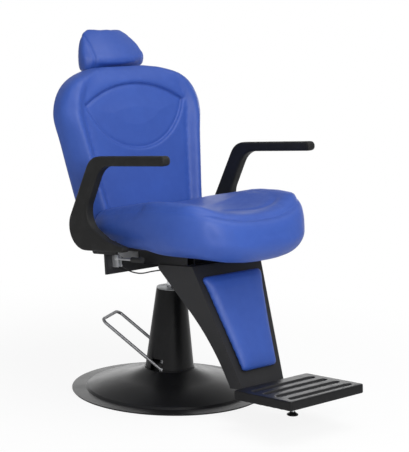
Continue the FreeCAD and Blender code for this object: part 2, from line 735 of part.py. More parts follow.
def hinge_plate():
    """The left hinge plate on the outer side of the rail."""
    outer = RAIL_OUTER_X + HINGE_SHEET
    top = RAIL_TOP_W - 1
    arm = side_prism([
        (0, RAIL_BOTTOM_W + HINGE_ARM_RISE, 8),
        (RAIL_REAR_V - HINGE_ARM_NECK, RAIL_BOTTOM_W + HINGE_ARM_RISE, 12),
        (HINGE_V, HINGE_W - HINGE_EYE_RADIUS, 0),
        (HINGE_V, HINGE_W + HINGE_EYE_RADIUS * 0.7, 0),
        (RAIL_REAR_V + HINGE_ARM_NECK, top, 6),
        (0, top, 3),
    ], RAIL_OUTER_X, outer)
    eye = rod(V(RAIL_OUTER_X, HINGE_V, HINGE_W), V(outer, HINGE_V, HINGE_W), HINGE_EYE_RADIUS)
    bore_radius = HINGE_SHAFT_RADIUS + RUNNING_FIT
    bore = rod(V(0, HINGE_V, HINGE_W), V(outer + 1, HINGE_V, HINGE_W), bore_radius)
    return placed(arm.fuse(eye).removeSplitter().cut(bore), SEAT)


def seat_pan():
    """The zinc plated cross pan over the rails, folded down behind the beam."""
    half = PAN_HALF_WIDTH
    top = RAIL_TOP_W + PAN_SHEET
    sheet = box(-half, half, PAN_FRONT_V, PAN_REAR_V, RAIL_TOP_W, top)
    skirt = box(-half, half, PAN_FRONT_V, PAN_FRONT_V + PAN_SHEET, PAN_SKIRT_W, top)
    pan = sheet.fuse(skirt).removeSplitter()
    inner = RAIL_OUTER_X - RAIL_WIDTH - 1
    outer = RAIL_OUTER_X + HINGE_SHEET + 1
    notch = box(inner, outer, PAN_FRONT_V - 1, PAN_FRONT_V + PAN_SHEET, 0, RAIL_TOP_W)
    return placed(pan.cut(notch).cut(mirrored(notch)), SEAT)


def seat_board():
    """The plywood board under the seat cushion."""
    low = RAIL_TOP_W + PAN_SHEET
    half = BOARD_HALF_WIDTH
    corners = [
        (-half, BOARD_FRONT_V, BOARD_FRONT_CORNER),
        (half, BOARD_FRONT_V, BOARD_FRONT_CORNER),
        (half, BOARD_REAR_V, BOARD_REAR_CORNER),
        (-half, BOARD_REAR_V, BOARD_REAR_CORNER),
    ]
    return placed(flat_prism(corners, low, low + BOARD_THICKNESS), SEAT)


def bolt_holes(radius, depth):
    """The bores for the left arm's bolts, from the end plate's inner face outwards."""
    start = ARM_INNER_X - END_PLATE_THICKNESS
    bores = []
    for v in ARM_BOLT_VS:
        bores.append(rod(V(start, v, ARM_BOLT_W), V(ARM_INNER_X + depth, v, ARM_BOLT_W), radius))
    return bores


def arm():
    """The left arm: a thick bent bar with rounded edges."""
    blank = side_prism([
        (ARM_TIP_V, ARM_TOP_W, ARM_TIP_BEND),
        (ARM_OUTER_TOP_V, ARM_TOP_W, ARM_OUTER_TOP_BEND),
        (ARM_OUTER_BOTTOM_V, ARM_FOOT_BOTTOM_W, ARM_OUTER_BOTTOM_BEND),
        (ARM_FOOT_FRONT_V, ARM_FOOT_BOTTOM_W, ARM_FOOT_BEND),
        (ARM_FOOT_FRONT_V, ARM_FOOT_TIP_W, ARM_FOOT_BEND),
        (ARM_WEDGE_V, ARM_WEDGE_W, ARM_WEDGE_BEND),
        (ARM_INNER_BOTTOM_V, ARM_INNER_BOTTOM_W, ARM_INNER_BOTTOM_BEND),
        (ARM_INNER_TOP_V, ARM_UNDER_W, ARM_INNER_TOP_BEND),
        (ARM_TIP_V, ARM_UNDER_W, ARM_TIP_BEND),
    ], ARM_INNER_X, ARM_INNER_X + ARM_WIDTH)
    rims = [edge for edge in blank.Edges if edge.BoundBox.XLength < 0.01]
    bar = blank.makeFillet(ARM_EDGE, rims)
    for bore in bolt_holes(BOLT_RADIUS + STATIC_GAP, BOLT_DEPTH + END_GAP):
        bar = bar.cut(bore)
    return placed(bar, SEAT)


def arm_bolt(index):
    """One of the left arm's bolts, with its head on the end plate's inner face."""
    face = ARM_INNER_X - END_PLATE_THICKNESS
    head = hexagon(V(face, ARM_BOLT_VS[index], ARM_BOLT_W), BOLT_HEAD_FLATS, BOLT_HEAD_HEIGHT, V(-1, 0, 0))
    shank = bolt_holes(BOLT_RADIUS, BOLT_DEPTH)[index]
    return placed(head.fuse(shank).removeSplitter(), SEAT)


# Seat cushion


def seat_level(x, v):
    """0 at the cushion's middle and 1 on its widest outline."""
    if v < SEAT_CENTRE_V:
        power = SEAT_FRONT_POWER
        reach = SEAT_CENTRE_V - SEAT_FRONT_V
    else:
        power = SEAT_REAR_POWER
        reach = SEAT_REAR_REACH
    across = abs(x) / SEAT_HALF_WIDTH
    along = abs(v - SEAT_CENTRE_V) / reach
    return min(1.0, (across ** power + along ** power) ** (1 / power))


def seat_floor(x, v):
    """Height of the cushion's underside before its edges round up."""
    drop = SEAT_BOTTOM_DROP * smooth(-v / SEAT_DROP_RUN)
    middle = 1 - min(1.0, (x / SEAT_FLOOR_HALF_WIDTH) ** 2)
    chin = SEAT_CHIN * middle * smooth((SEAT_CHIN_START_V - v) / SEAT_CHIN_RUN)
    return SEAT_BOTTOM_W - drop - chin


def seat_crest(x, v):
    """Height of the cushion's top before its edges round down."""
    rise = SEAT_CREST_RISE * smooth((SEAT_RISE_START_V - v) / SEAT_RISE_RUN)
    middle = 1 - min(1.0, (x / SEAT_SCOOP_HALF_WIDTH) ** 2)
    scoop = SEAT_SCOOP * middle * smooth((SEAT_SCOOP_START_V - v) / SEAT_SCOOP_RUN)
    return SEAT_REAR_TOP_W + rise - scoop


def seat_top(x, v):
    """Height of the cushion's top surface."""
    level = seat_level(x, v)
    low = seat_floor(x, v)
    outward = max(0.0, (level - SEAT_ROUND_START) / (1 - SEAT_ROUND_START))
    share = SEAT_WIDEST + (1 - SEAT_WIDEST) * math.sqrt(max(0.0, 1 - outward ** 2))
    inward = max(0.0, 1 - (level / SEAT_ROUND_START) ** 2)
    dish = SEAT_DISH * inward ** 2 * smooth((SEAT_DISH_START_V - v) / SEAT_DISH_RUN)
    return low + (seat_crest(x, v) - low) * share - dish


def seat_under(x, v):
    """Height of the cushion's underside."""
    low = seat_floor(x, v)
    outward = max(0.0, (seat_level(x, v) - SEAT_UNDER_START) / (1 - SEAT_UNDER_START))
    share = SEAT_WIDEST * (1 - math.sqrt(max(0.0, 1 - outward ** 2)))
    return low + (seat_crest(x, v) - low) * share


def seat_rear(x, w):
    """The cushion's rear end: a plane parallel to the backrest, or the rounded corner."""
    plane = SEAT_REAR_BOTTOM_V + (w - SEAT_BOTTOM_W) * math.tan(math.radians(BACK_LEAN - SEAT_TILT))
    power = SEAT_REAR_POWER
    left = max(0.0, SEAT_REAR_FULL ** power - (abs(x) / SEAT_HALF_WIDTH) ** power)
    return min(plane, SEAT_CENTRE_V + SEAT_REAR_REACH * left ** (1 / power))


def seat_section(x):
    """The cushion's closed side outline at a distance from the middle."""
    power = SEAT_FRONT_POWER
    across = (abs(x) / SEAT_HALF_WIDTH) ** power
    reach = (SEAT_CENTRE_V - SEAT_FRONT_V) * (1 - across) ** (1 / power)

    def top(share):
        v = SEAT_CENTRE_V - reach * share
        return V(x, v, seat_top(x, v))

    def under(share):
        v = SEAT_CENTRE_V - reach * share
        return V(x, v, seat_under(x, v))

    low_v = seat_rear(x, SEAT_BOTTOM_W)
    high_v = seat_rear(x, SEAT_REAR_TOP_W)
    low_w = seat_under(x, low_v)
    high_w = seat_top(x, high_v)
    corner = min(SEAT_REAR_CORNER, 0.25 * (high_w - low_w))
    rear_low = V(x, low_v, low_w)
    rear_high = V(x, seat_rear(x, high_w - corner), high_w - corner)
    turn_end = V(x, high_v - corner, seat_top(x, high_v - corner))
    turn = V(x, high_v - 0.29 * corner, (high_w + turn_end.z) / 2 - 0.29 * corner)
    half_v = (turn_end.y + SEAT_CENTRE_V) / 2
    half = V(x, half_v, seat_top(x, half_v))
    edges = [
        line(rear_low, rear_high),
        arc(rear_high, turn, turn_end),
        arc(turn_end, half, top(0)),
        arc(top(0), top(0.45), top(0.8)),
        arc(top(0.8), top(0.955), top(1)),
        arc(top(1), under(0.965), under(0.85)),
        arc(under(0.85), under(0.45), under(0)),
        line(under(0), rear_low),
    ]
    return Part.Wire(edges)


def seat_cushion():
    """The seat cushion: scooped top, rounded nose and sides, pocketed for its board."""
    shares = (0.0, 0.25, 0.5, 0.7, 0.84, 0.925, 0.97, 0.992)
    places = [-SEAT_HALF_WIDTH * share for share in reversed(shares[1:])]
    places += [SEAT_HALF_WIDTH * share for share in shares]
    form = Part.makeLoft([seat_section(x) for x in places], True, False)
    cushion = placed(form, SEAT)
    rail = seat_rail_block()
    for other in (seat_board(), rail, mirrored(rail), arm_beam()):
        cushion = cushion.cut(other)
    return cushion


def seat_rail_block():
    """The left rail's outer space, which the cushion keeps clear of."""
    front = CROSSBAR_FRONT_V - CROSSBAR_SIZE
    inner = RAIL_OUTER_X - RAIL_WIDTH
    return placed(box(inner, RAIL_OUTER_X, front, RAIL_REAR_V, 0, RAIL_TOP_W + PAN_SHEET), SEAT)


# Leg rest and foot rest


def leg_plate():
    """The left side plate of the leg rest: a cut sheet, leaning in towards the foot rest."""
    outline = side_prism([
        (LEG_REAR_TOP_V, LEG_TOP_W, 0),
        (LEG_REAR_TOP_V, LEG_TOP_W - LEG_REAR_STEP, LEG_REAR_BEND),
        (LEG_KNEE_V, LEG_KNEE_W, LEG_KNEE_BEND),
        (LEG_REAR_BOTTOM_V, LEG_BOTTOM_W, 0),
        (LEG_FRONT_BOTTOM_V, LEG_BOTTOM_W, 0),
        (LEG_FRONT_TOP_V, LEG_TOP_W, 0),
    ], 0, LEG_TOP_HALF + LEG_CLEAR)
    run = leg_sheet_run()
    sheet = front_prism([
        (leg_half(LEG_BOTTOM_W) - run, LEG_BOTTOM_W, 0),
        (leg_half(LEG_BOTTOM_W), LEG_BOTTOM_W, 0),
        (leg_half(LEG_TOP_W), LEG_TOP_W, 0),
        (leg_half(LEG_TOP_W) - run, LEG_TOP_W, 0),
    ], LEG_FRONT_BOTTOM_V - LEG_CLEAR, 0)
    return placed(outline.common(sheet), SEAT)


def leg_face_angle():
    """How far the leg rest's front leans from the seat frame's upright."""
    return math.atan2(LEG_FRONT_TOP_V - LEG_FRONT_BOTTOM_V, LEG_TOP_W - LEG_BOTTOM_W)


def leg_front_frame():
    """The sheet between the side plates that carries the leg pad."""
    run = LEG_SHEET / math.cos(leg_face_angle())
    sheet = side_prism([
        (LEG_FRONT_TOP_V, LEG_TOP_W, 0),
        (LEG_FRONT_BOTTOM_V, LEG_BOTTOM_W, 0),
        (LEG_FRONT_BOTTOM_V + run, LEG_BOTTOM_W, 0),
        (LEG_FRONT_TOP_V + run, LEG_TOP_W, 0),
    ], -LEG_TOP_HALF, LEG_TOP_HALF)
    return placed(sheet.common(between_leg_plates()), SEAT)


def pad_ring(inset, out):
    """The leg pad's outline drawn in by an inset, at a distance in front of its frame."""
    top = -PAD_TOP_DISTANCE - inset
    bottom = -PAD_BOTTOM_DISTANCE + inset
    slope = (PAD_TOP_HALF - PAD_BOTTOM_HALF) / (PAD_BOTTOM_DISTANCE - PAD_TOP_DISTANCE)
    top_half = PAD_TOP_HALF - inset * (1 + slope)
    bottom_half = PAD_BOTTOM_HALF - inset * (1 - slope)
    radius = PAD_CORNER
    corners = [
        (-bottom_half, bottom, radius),
        (bottom_half, bottom, radius),
        (top_half, top, radius),
        (-top_half, top, radius),
    ]
    return rounded_wire(corners, lambda p: V(p.x, -out, p.y))


def leg_pad():
    """The blue calf pad: a tapered board with soft edges and a low crown."""
    bevel = PAD_BEVEL
    depth = PAD_THICKNESS
    rings = [
        pad_ring(0, 0),
        pad_ring(0, 0.45 * depth),
        pad_ring(0.25 * bevel, 0.8 * depth),
        pad_ring(bevel, depth),
        pad_ring(2.2 * bevel, depth + 0.5 * PAD_CROWN),
        pad_ring(4.5 * bevel, depth + PAD_CROWN),
    ]
    pad = Part.makeLoft(rings, True, True)
    lean = FreeCAD.Rotation(X_AXIS, -math.degrees(leg_face_angle()))
    face = FreeCAD.Placement(V(0, LEG_FRONT_TOP_V, LEG_TOP_W), lean)
    return placed(placed(pad, face), SEAT)


def foot_plate():
    """The foot rest with its four long grip grooves."""
    half = FOOT_HALF_WIDTH
    corners = [
        (-half, -FOOT_DEPTH, FOOT_CORNER),
        (half, -FOOT_DEPTH, FOOT_CORNER),
        (half, 0, FOOT_CORNER),
        (-half, 0, FOOT_CORNER),
    ]
    plate = flat_prism(corners, -FOOT_THICKNESS, 0)
    top = [edge for edge in plate.Edges if edge.BoundBox.ZMin > -0.01]
    plate = plate.makeFillet(FOOT_EDGE, top)
    reach = FOOT_SLOT_HALF_LENGTH
    width = FOOT_SLOT_WIDTH / 2
    for index in range(FOOT_SLOTS):
        y = -FOOT_SLOT_FIRST - index * FOOT_SLOT_PITCH
        end = width - 0.01
        groove = flat_prism([
            (-reach, y - width, end),
            (reach, y - width, end),
            (reach, y + width, end),
            (-reach, y + width, end),
        ], -FOOT_SLOT_DEPTH, 1)
        plate = plate.cut(groove)
    return placed(plate, FOOT)


def foot_tongue():
    """The bent plate that joins the foot rest to the leg rest's lower ends."""
    to_seat = SEAT.inverse()
    near = to_seat.multVec(FOOT.multVec(V(0, 0, -FOOT_THICKNESS)))
    far = to_seat.multVec(FOOT.multVec(V(0, -TONGUE_REACH, -FOOT_THICKNESS)))
    sheet = TONGUE_SHEET
    outline = [
        (LEG_REAR_BOTTOM_V, LEG_BOTTOM_W, 0),
        (LEG_FRONT_BOTTOM_V, LEG_BOTTOM_W, 0),
        (near.y, near.z, 0),
        (far.y, far.z, 0),
        (far.y, far.z - sheet, 0),
        (near.y + 0.2 * sheet, near.z - sheet, 0),
        (LEG_FRONT_BOTTOM_V + 0.4 * sheet, LEG_BOTTOM_W - sheet, 0),
        (LEG_REAR_BOTTOM_V, LEG_BOTTOM_W - sheet, 0),
    ]
    return placed(side_prism(outline, -LEG_BOTTOM_HALF, LEG_BOTTOM_HALF), SEAT)


def above_foot_underside():
    """All the space above the foot rest's underside."""
    return placed(box(-FAR, FAR, -2 * FAR, FAR, -FOOT_THICKNESS, FAR), FOOT)


def foot_stem():
    """The levelling foot's threaded stem and lock nut under the foot rest."""
    low = LEVELLER_BOTTOM_Z + LEVELLER_HEIGHT - STEM_SEAT_DEPTH
    stem = Part.makeCylinder(STEM_RADIUS, FOOT_REAR_Z - low, V(0, LEVELLER_Y, low))
    run = FOOT_REAR_Y - LEVELLER_Y
    underside = FOOT_REAR_Z + run * math.tan(math.radians(FOOT_TILT)) - FOOT_THICKNESS
    nut_low = V(0, LEVELLER_Y, underside - STEM_NUT_HEIGHT)
    nut = hexagon(nut_low, STEM_NUT_FLATS, 2 * STEM_NUT_HEIGHT, Z_AXIS)
    return stem.fuse(nut).removeSplitter().cut(above_foot_underside())


def foot_pad():
    """The small round foot."""
    low = LEVELLER_BOTTOM_Z
    top = low + LEVELLER_HEIGHT
    neck = STEM_RADIUS + 3
    pad = turned([
        (0, low, 0),
        (LEVELLER_RADIUS, low, 1.2),
        (LEVELLER_RADIUS, low + 0.35 * LEVELLER_HEIGHT, 1.2),
        (neck, top - 1, 3),
        (neck, top, 0),
        (0, top, 0),
    ])
    pad.translate(V(0, LEVELLER_Y, 0))
    return pad.cut(foot_stem())


# Locking strut of the recline, in the seat frame


def strut_drop():
    """How far the strut's line lies below the hinge."""
    return HINGE_W - STRUT_W


def strut_pin_v():
    """Where the strut's pin stands with the back upright."""
    half_turn = math.radians(RECLINE_RANGE / 2)
    return HINGE_V + STRUT_GAIN * strut_drop() * half_turn


def strut_lug():
    """The lug under the hub plate that holds the strut's fixed end."""
    half = STRUT_RADIUS
    rear = STRUT_FRONT_V
    top = HUB_PLATE_TOP_W - HUB_PLATE_THICKNESS
    block = box(STRUT_X - half, STRUT_X + half, rear - STRUT_LUG_LENGTH, rear, STRUT_W - half - 2, top)
    return placed(block, SEAT)


def strut_cylinder():
    """The strut's gas cylinder."""
    start = V(STRUT_X, STRUT_FRONT_V, STRUT_W)
    end = V(STRUT_X, STRUT_REAR_V, STRUT_W)
    bore_start = V(STRUT_X, STRUT_FRONT_V + STRUT_CAP, STRUT_W)
    body = rod(start, end, STRUT_RADIUS).cut(rod(bore_start, end, STRUT_ROD_RADIUS + END_GAP))
    return placed(body, SEAT)


def strut_rod():
    """The strut's rod with the fork and cross pin that drive the recline arm."""
    pin_v = strut_pin_v()
    gap = RECLINE_ARM_SHEET / 2 + END_GAP
    outer = gap + FORK_SHEET
    rise = STRUT_PIN_RADIUS * 2
    bridge_front = pin_v - FORK_REACH - FORK_SHEET
    travel = 2 * (pin_v - HINGE_V)
    bar_front = STRUT_FRONT_V + STRUT_CAP + STRUT_ROD_CLEAR + travel
    bar = rod(V(0, bar_front, 0), V(0, bridge_front, 0), STRUT_ROD_RADIUS)
    fork = box(-outer, outer, bridge_front, pin_v, -rise, rise)
    fork = fork.fuse(rod(V(-outer, pin_v, 0), V(outer, pin_v, 0), rise)).removeSplitter()
    fork = fork.cut(box(-gap, gap, bridge_front + FORK_SHEET, pin_v + rise + 1, -rise, rise))
    pin = rod(V(-outer, pin_v, 0), V(outer, pin_v, 0), STRUT_PIN_RADIUS)
    whole = bar.fuse(fork).fuse(pin).removeSplitter()
    whole.translate(V(STRUT_X, 0, STRUT_W))
    return placed(whole, SEAT)


def recline_shaft():
    """The hinge shaft right across the chair, turning with the back."""
    reach = RAIL_OUTER_X + 2 * HINGE_SHEET + HINGE_SIDE_GAP
    return rod(V(-reach, HINGE_Y, HINGE_Z), V(reach, HINGE_Y, HINGE_Z), HINGE_SHAFT_RADIUS)


def recline_arm():
    """The arm on the hinge shaft, slotted for the strut's pin."""
    drop = strut_drop()
    half_turn = RECLINE_RANGE / 2
    far = drop / math.cos(math.radians(half_turn))
    half = RECLINE_ARM_HALF
    sheet = RECLINE_ARM_SHEET / 2
    arm_plate = box(-sheet, sheet, -half, half, -far, 0)
    arm_plate = arm_plate.fuse(rod(V(-sheet, 0, -far), V(sheet, 0, -far), half))
    arm_plate = arm_plate.fuse(rod(V(-sheet, 0, 0), V(sheet, 0, 0), HINGE_EYE_RADIUS - 2)).removeSplitter()
    slot = STRUT_PIN_RADIUS + PIN_PLAY
    hollow = box(-sheet, sheet, -slot, slot, -far, -drop)
    for low in (-far, -drop):
        hollow = hollow.fuse(rod(V(-sheet, 0, low), V(sheet, 0, low), slot))
    arm_plate = arm_plate.cut(hollow.removeSplitter())
    arm_plate = arm_plate.cut(rod(V(-sheet, 0, 0), V(sheet, 0, 0), HINGE_SHAFT_RADIUS + RUNNING_FIT))
    swing = FreeCAD.Placement(V(STRUT_X, HINGE_V, HINGE_W), FreeCAD.Rotation(X_AXIS, half_turn))
    return placed(placed(arm_plate, swing), SEAT)


# Release lever and cable, in the seat frame


def lever_bracket():
    """The forked bracket on the beam with the lever's pin."""
    gap = LEVER_HUB_WIDTH / 2 + END_GAP
    outer = gap + LEVER_CHEEK_SHEET
    front = LEVER_V - LEVER_BRACKET_REACH
    low = LEVER_W - LEVER_BRACKET_DROP
    high = LEVER_W + LEVER_BRACKET_RISE
    block = box(LEVER_X - outer, LEVER_X + outer, front, BEAM_FRONT_V, low, high)
    block = block.cut(box(LEVER_X - gap, LEVER_X + gap, front, BEAM_FRONT_V - LEVER_CHEEK_SHEET, low, high))
    reach = outer + LEVER_PIN_HEAD
    pin = rod(V(LEVER_X - reach, LEVER_V, LEVER_W), V(LEVER_X + reach, LEVER_V, LEVER_W), LEVER_PIN_RADIUS)
    return placed(block.fuse(pin).removeSplitter(), SEAT)


def release_lever():
    """The lever's hub and rod."""
    half = LEVER_HUB_WIDTH / 2
    hub = rod(V(LEVER_X - half, LEVER_V, LEVER_W), V(LEVER_X + half, LEVER_V, LEVER_W), LEVER_HUB_RADIUS)
    end = LEVER_V - LEVER_REACH + LEVER_END_CLEAR
    bar = rod(V(LEVER_X, LEVER_V, LEVER_W), V(LEVER_X, end, LEVER_W), LEVER_ROD_RADIUS)
    bore_radius = LEVER_PIN_RADIUS + RUNNING_FIT
    reach = 2 * half
    bore = rod(V(LEVER_X - reach, LEVER_V, LEVER_W), V(LEVER_X + reach, LEVER_V, LEVER_W), bore_radius)
    return placed(hub.fuse(bar).removeSplitter().cut(bore), SEAT)


def lever_grip():
    """The grip pushed over the lever's end."""
    end = LEVER_V - LEVER_REACH
    grip = rod(V(LEVER_X, end, LEVER_W), V(LEVER_X, end + LEVER_GRIP_LENGTH, LEVER_W), LEVER_GRIP_RADIUS)
    return placed(grip, SEAT).cut(release_lever())


def cable_points():
    """The corners of the release cable's route, from the strut's lug to the lever."""
    start = V(STRUT_X - STRUT_RADIUS - FERRULE_LENGTH, STRUT_FRONT_V - STRUT_LUG_LENGTH / 2, STRUT_W)
    return [start] + [V(*corner) for corner in CABLE_ROUTE]


def release_cable():
    """The release cable: straight runs joined by tangent arcs."""
    points = cable_points()
    edges = []
    radii = []
    position = points[0]
    for before, here, after in zip(points, points[1:], points[2:]):
        back = (before - here).normalize()
        on = (after - here).normalize()
        half = back.getAngle(on) / 2
        reach = CABLE_BEND_SHARE * min((before - here).Length, (after - here).Length)
        radius = reach * math.tan(half)
        centre = here + (back + on).normalize() * (radius / math.sin(half))
        middle = centre + (here - centre).normalize() * radius
        edges.append(line(position, here + back * reach))
        edges.append(arc(here + back * reach, middle, here + on * reach))
        position = here + on * reach
        radii.append(round(radius, 1))
    edges.append(line(position, points[-1]))
    path = Part.Wire(edges)
    section = Part.Wire(Part.makeCircle(CABLE_RADIUS, points[0], points[1] - points[0]))
    tube = path.makePipeShell([section], True, False)
    share = tube.Volume / (math.pi * CABLE_RADIUS ** 2 * path.Length)
    print("cable radii", radii, "volume share", round(share, 4), "length", round(path.Length, 1))
    return placed(tube, SEAT)


def lug_ferrule():
    """The cable's end fitting at the strut."""
    start = cable_points()[0]
    return placed(rod(start, start + V(FERRULE_LENGTH, 0, 0), FERRULE_RADIUS), SEAT)


def lever_ferrule():
    """The cable's end fitting at the lever bracket."""
    before, end = cable_points()[-2:]
    along = (end - before).normalize()
    fitting = placed(rod(end, end + along * FERRULE_LENGTH, FERRULE_RADIUS), SEAT)
    cheek = LEVER_X + LEVER_HUB_WIDTH / 2 + END_GAP + LEVER_CHEEK_SHEET
    beyond = box(cheek - 3 * FERRULE_LENGTH, cheek, -FAR, FAR, -FAR, FAR)
    return fitting.cut(placed(beyond, SEAT))


# Backrest, drawn as (x, t, h): t towards the rear, h up along its lean


def back_rear_t(h):
    """The cushion's rear face, thinner towards the top."""
    share = (h - BACK_BOTTOM_H) / (BACK_TOP_H - BACK_BOTTOM_H)
    return BACK_REAR_BOTTOM_T + (BACK_REAR_TOP_T - BACK_REAR_BOTTOM_T) * share


def back_half(h):
    """Half the cushion's width at a height."""
    share = h / (BACK_WIDEST_H + 20)
    flank = BACK_BOTTOM_HALF + (BACK_WIDEST_HALF - BACK_BOTTOM_HALF) * share
    if h <= BACK_WIDEST_H:
        return flank
    power = BACK_SHOULDER_POWER
    up = (h - BACK_WIDEST_H) / (BACK_TOP_H - BACK_WIDEST_H)
    return min(flank, BACK_WIDEST_HALF * (1 - up ** power) ** (1 / power))


def back_section(h, fullness):
    """The cushion's closed outline at a height: flat middle, a groove, a bolster each side."""
    half = back_half(h)
    groove = BOLSTER_GROOVE * half
    crest = BOLSTER_CREST * half
    lip = 0.03 * half
    rear = back_rear_t(h)

    def point(x, t):
        return V(x, BACK_MIDDLE_T + (t - BACK_MIDDLE_T) * fullness, h)

    edges = [line(point(lip - groove, 0), point(groove - lip, 0))]
    for side in (1, -1):
        chain = [
            (groove - lip, 0),
            (groove, BOLSTER_GROOVE_DEPTH),
            (groove + lip, 0),
            (crest, -BOLSTER_RISE),
            (0.955 * half, -0.55 * BOLSTER_RISE),
            (0.993 * half, 0.15 * rear),
            (half, 0.5 * rear),
            (0.985 * half, 0.85 * rear),
            (0.93 * half, rear),
        ]
        spots = [point(side * x, t) for x, t in chain]
        for first in range(0, len(spots) - 1, 2):
            ends = spots[first:first + 3]
            edges.append(arc(*ends) if side > 0 else arc(*reversed(ends)))
    edges.append(line(point(0.93 * half, rear), point(-0.93 * half, rear)))
    right = edges[1:5]
    left = edges[5:9]
    return Part.Wire([edges[0]] + right + [edges[9]] + list(reversed(left)))


def panel_welt():
    """The stitched line round the leaf-shaped panel: a long arc above, a deep one below."""
    radius = PANEL_WELT_RADIUS
    depth = PANEL_WELT_DEPTH - radius
    high = (PANEL_TIP_X ** 2 + PANEL_TOP_RISE ** 2) / (2 * PANEL_TOP_RISE)
    low = (PANEL_TIP_X ** 2 + PANEL_DROP ** 2) / (2 * PANEL_DROP)
    top_ring = Part.makeTorus(high, radius, V(0, depth, PANEL_TIP_H + PANEL_TOP_RISE - high), Y_AXIS)
    low_ring = Part.makeTorus(low, radius, V(0, depth, PANEL_TIP_H - PANEL_DROP + low), Y_AXIS)
    reach = 2 * high
    above = box(-reach, reach, -reach, reach, PANEL_TIP_H, PANEL_TIP_H + reach)
    below = box(-reach, reach, -reach, reach, PANEL_TIP_H - reach, PANEL_TIP_H)
    return [top_ring.common(above), low_ring.common(below)]


def back_cushion():
    """The backrest cushion with its side bolsters and its panel line."""
    sections = [back_section(BACK_BOTTOM_H + up, fullness) for up, fullness in BACK_STEPS_UP]
    sections += [back_section(BACK_TOP_H - down, fullness) for down, fullness in BACK_STEPS_DOWN]
    form = Part.makeLoft(sections, True, False)
    for welt in panel_welt():
        form = form.cut(welt)
    pocket = front_prism(back_outline(BACK_PANEL_INSET), -BACK_PANEL_THICKNESS, BACK_PANEL_THICKNESS)
    return placed(form, BACK).cut(placed(pocket, rear_face()))


def rear_face():
    """The frame of the cushion's rear plane, with y pointing rearwards."""
    lean = math.atan2(BACK_REAR_BOTTOM_T - BACK_REAR_TOP_T, BACK_TOP_H - BACK_BOTTOM_H)
    turn = FreeCAD.Rotation(X_AXIS, math.degrees(lean))
    return BACK.multiply(FreeCAD.Placement(V(0, BACK_REAR_BOTTOM_T, BACK_BOTTOM_H), turn))


def back_outline(inset):
    """The rear panel's outline, drawn in from the cushion's edge."""
    bottom = BACK_BOTTOM_HALF - inset
    top = BACK_WIDEST_HALF - inset
    high = BACK_TOP_H - BACK_BOTTOM_H - inset
    return [
        (-bottom, inset, BACK_CORNER),
        (bottom, inset, BACK_CORNER),
        (top, high, BACK_SHOULDER_CORNER),
        (-top, high, BACK_SHOULDER_CORNER),
    ]


def back_panel():
    """The plywood panel let into the cushion's rear."""
    return placed(front_prism(back_outline(BACK_PANEL_INSET), -BACK_PANEL_THICKNESS, 0), rear_face())


def back_cover():
    """The thin moulded cover over the back."""
    shell = front_prism(back_outline(BACK_COVER_INSET), END_GAP, BACK_COVER_THICKNESS)
    return placed(shell, rear_face())


def back_bracket():
    """The left bracket from the hinge shaft, under the cushion and up its rear."""
    inner = RAIL_OUTER_X + HINGE_SHEET + HINGE_SIDE_GAP
    outer = inner + HINGE_SHEET
    t = HINGE_IN_BACK.y
    h = HINGE_IN_BACK.z
    eye = HINGE_EYE_RADIUS
    face = BACK_COVER_THICKNESS
    slope = (BACK_REAR_BOTTOM_T - BACK_REAR_TOP_T) / (BACK_TOP_H - BACK_BOTTOM_H)
    low_t = back_rear_t(BACK_BOTTOM_H) + face
    top_t = back_rear_t(BRACKET_TOP_H) + face
    bend_h = BACK_BOTTOM_H - BRACKET_BEND_DROP
    outline = [
        (t, h + eye, 0),
        (low_t + slope * BRACKET_BEND_DROP, bend_h, BRACKET_BEND),
        (top_t, BRACKET_TOP_H, 0),
        (top_t + BRACKET_TOP_DEPTH, BRACKET_TOP_H, BRACKET_TOP_BEND),
        (low_t + BRACKET_RIB, BACK_BOTTOM_H, BRACKET_RIB_BEND),
        (t, h - eye, 0),
    ]
    plate = placed(side_prism(outline, inner, outer), BACK)
    hinge = V(0, HINGE_Y, HINGE_Z)
    boss = rod(hinge + V(inner, 0, 0), hinge + V(outer, 0, 0), eye)
    flange_x = outer - BRACKET_FLANGE_WIDTH
    flange_low = BACK_COVER_INSET + BRACKET_FLANGE_LIFT
    flange_high = BRACKET_TOP_H - BACK_BOTTOM_H
    flange = box(flange_x, outer, face, face + BRACKET_FLANGE_SHEET, flange_low, flange_high)
    bracket = plate.fuse(boss).fuse(placed(flange, rear_face())).removeSplitter()
    bracket = bracket.cut(placed(box(0, outer + 1, -FAR, face, 0, 2 * FAR), rear_face()))
    return bracket.cut(rod(hinge, hinge + V(outer + 1, 0, 0), HINGE_SHAFT_RADIUS + RUNNING_FIT))


# Headrest and its slide


def headrest_post():
    """The flat bar that carries the headrest and slides in the guide."""
    half = POST_WIDTH / 2
    corners = [
        (-half, POST_BOTTOM_H, POST_CORNER),
        (half, POST_BOTTOM_H, POST_CORNER),
        (half, POST_TOP_H, POST_CORNER),
        (-half, POST_TOP_H, POST_CORNER),
    ]
    return placed(front_prism(corners, POST_T, POST_T + POST_SHEET), BACK)


def headrest_guide():
    """The sleeve on the back cover that the headrest's bar slides through."""
    half = POST_WIDTH / 2
    high = GUIDE_BOTTOM_H + GUIDE_LENGTH
    outer_t = POST_T + POST_SHEET + STATIC_GAP + GUIDE_WALL
    block = box(-half - GUIDE_WALL, half + GUIDE_WALL, 0, outer_t, GUIDE_BOTTOM_H, high)
    play = STATIC_GAP
    side = half + play
    channel = box(-side, side, POST_T - play, POST_T + POST_SHEET + play, GUIDE_BOTTOM_H, high)
    sleeve = placed(block.cut(channel), BACK)
    sleeve = sleeve.cut(placed(box(-FAR, FAR, -FAR, BACK_COVER_THICKNESS, 0, 3 * FAR), rear_face()))
    return sleeve.cut(knob_stem(STATIC_GAP))


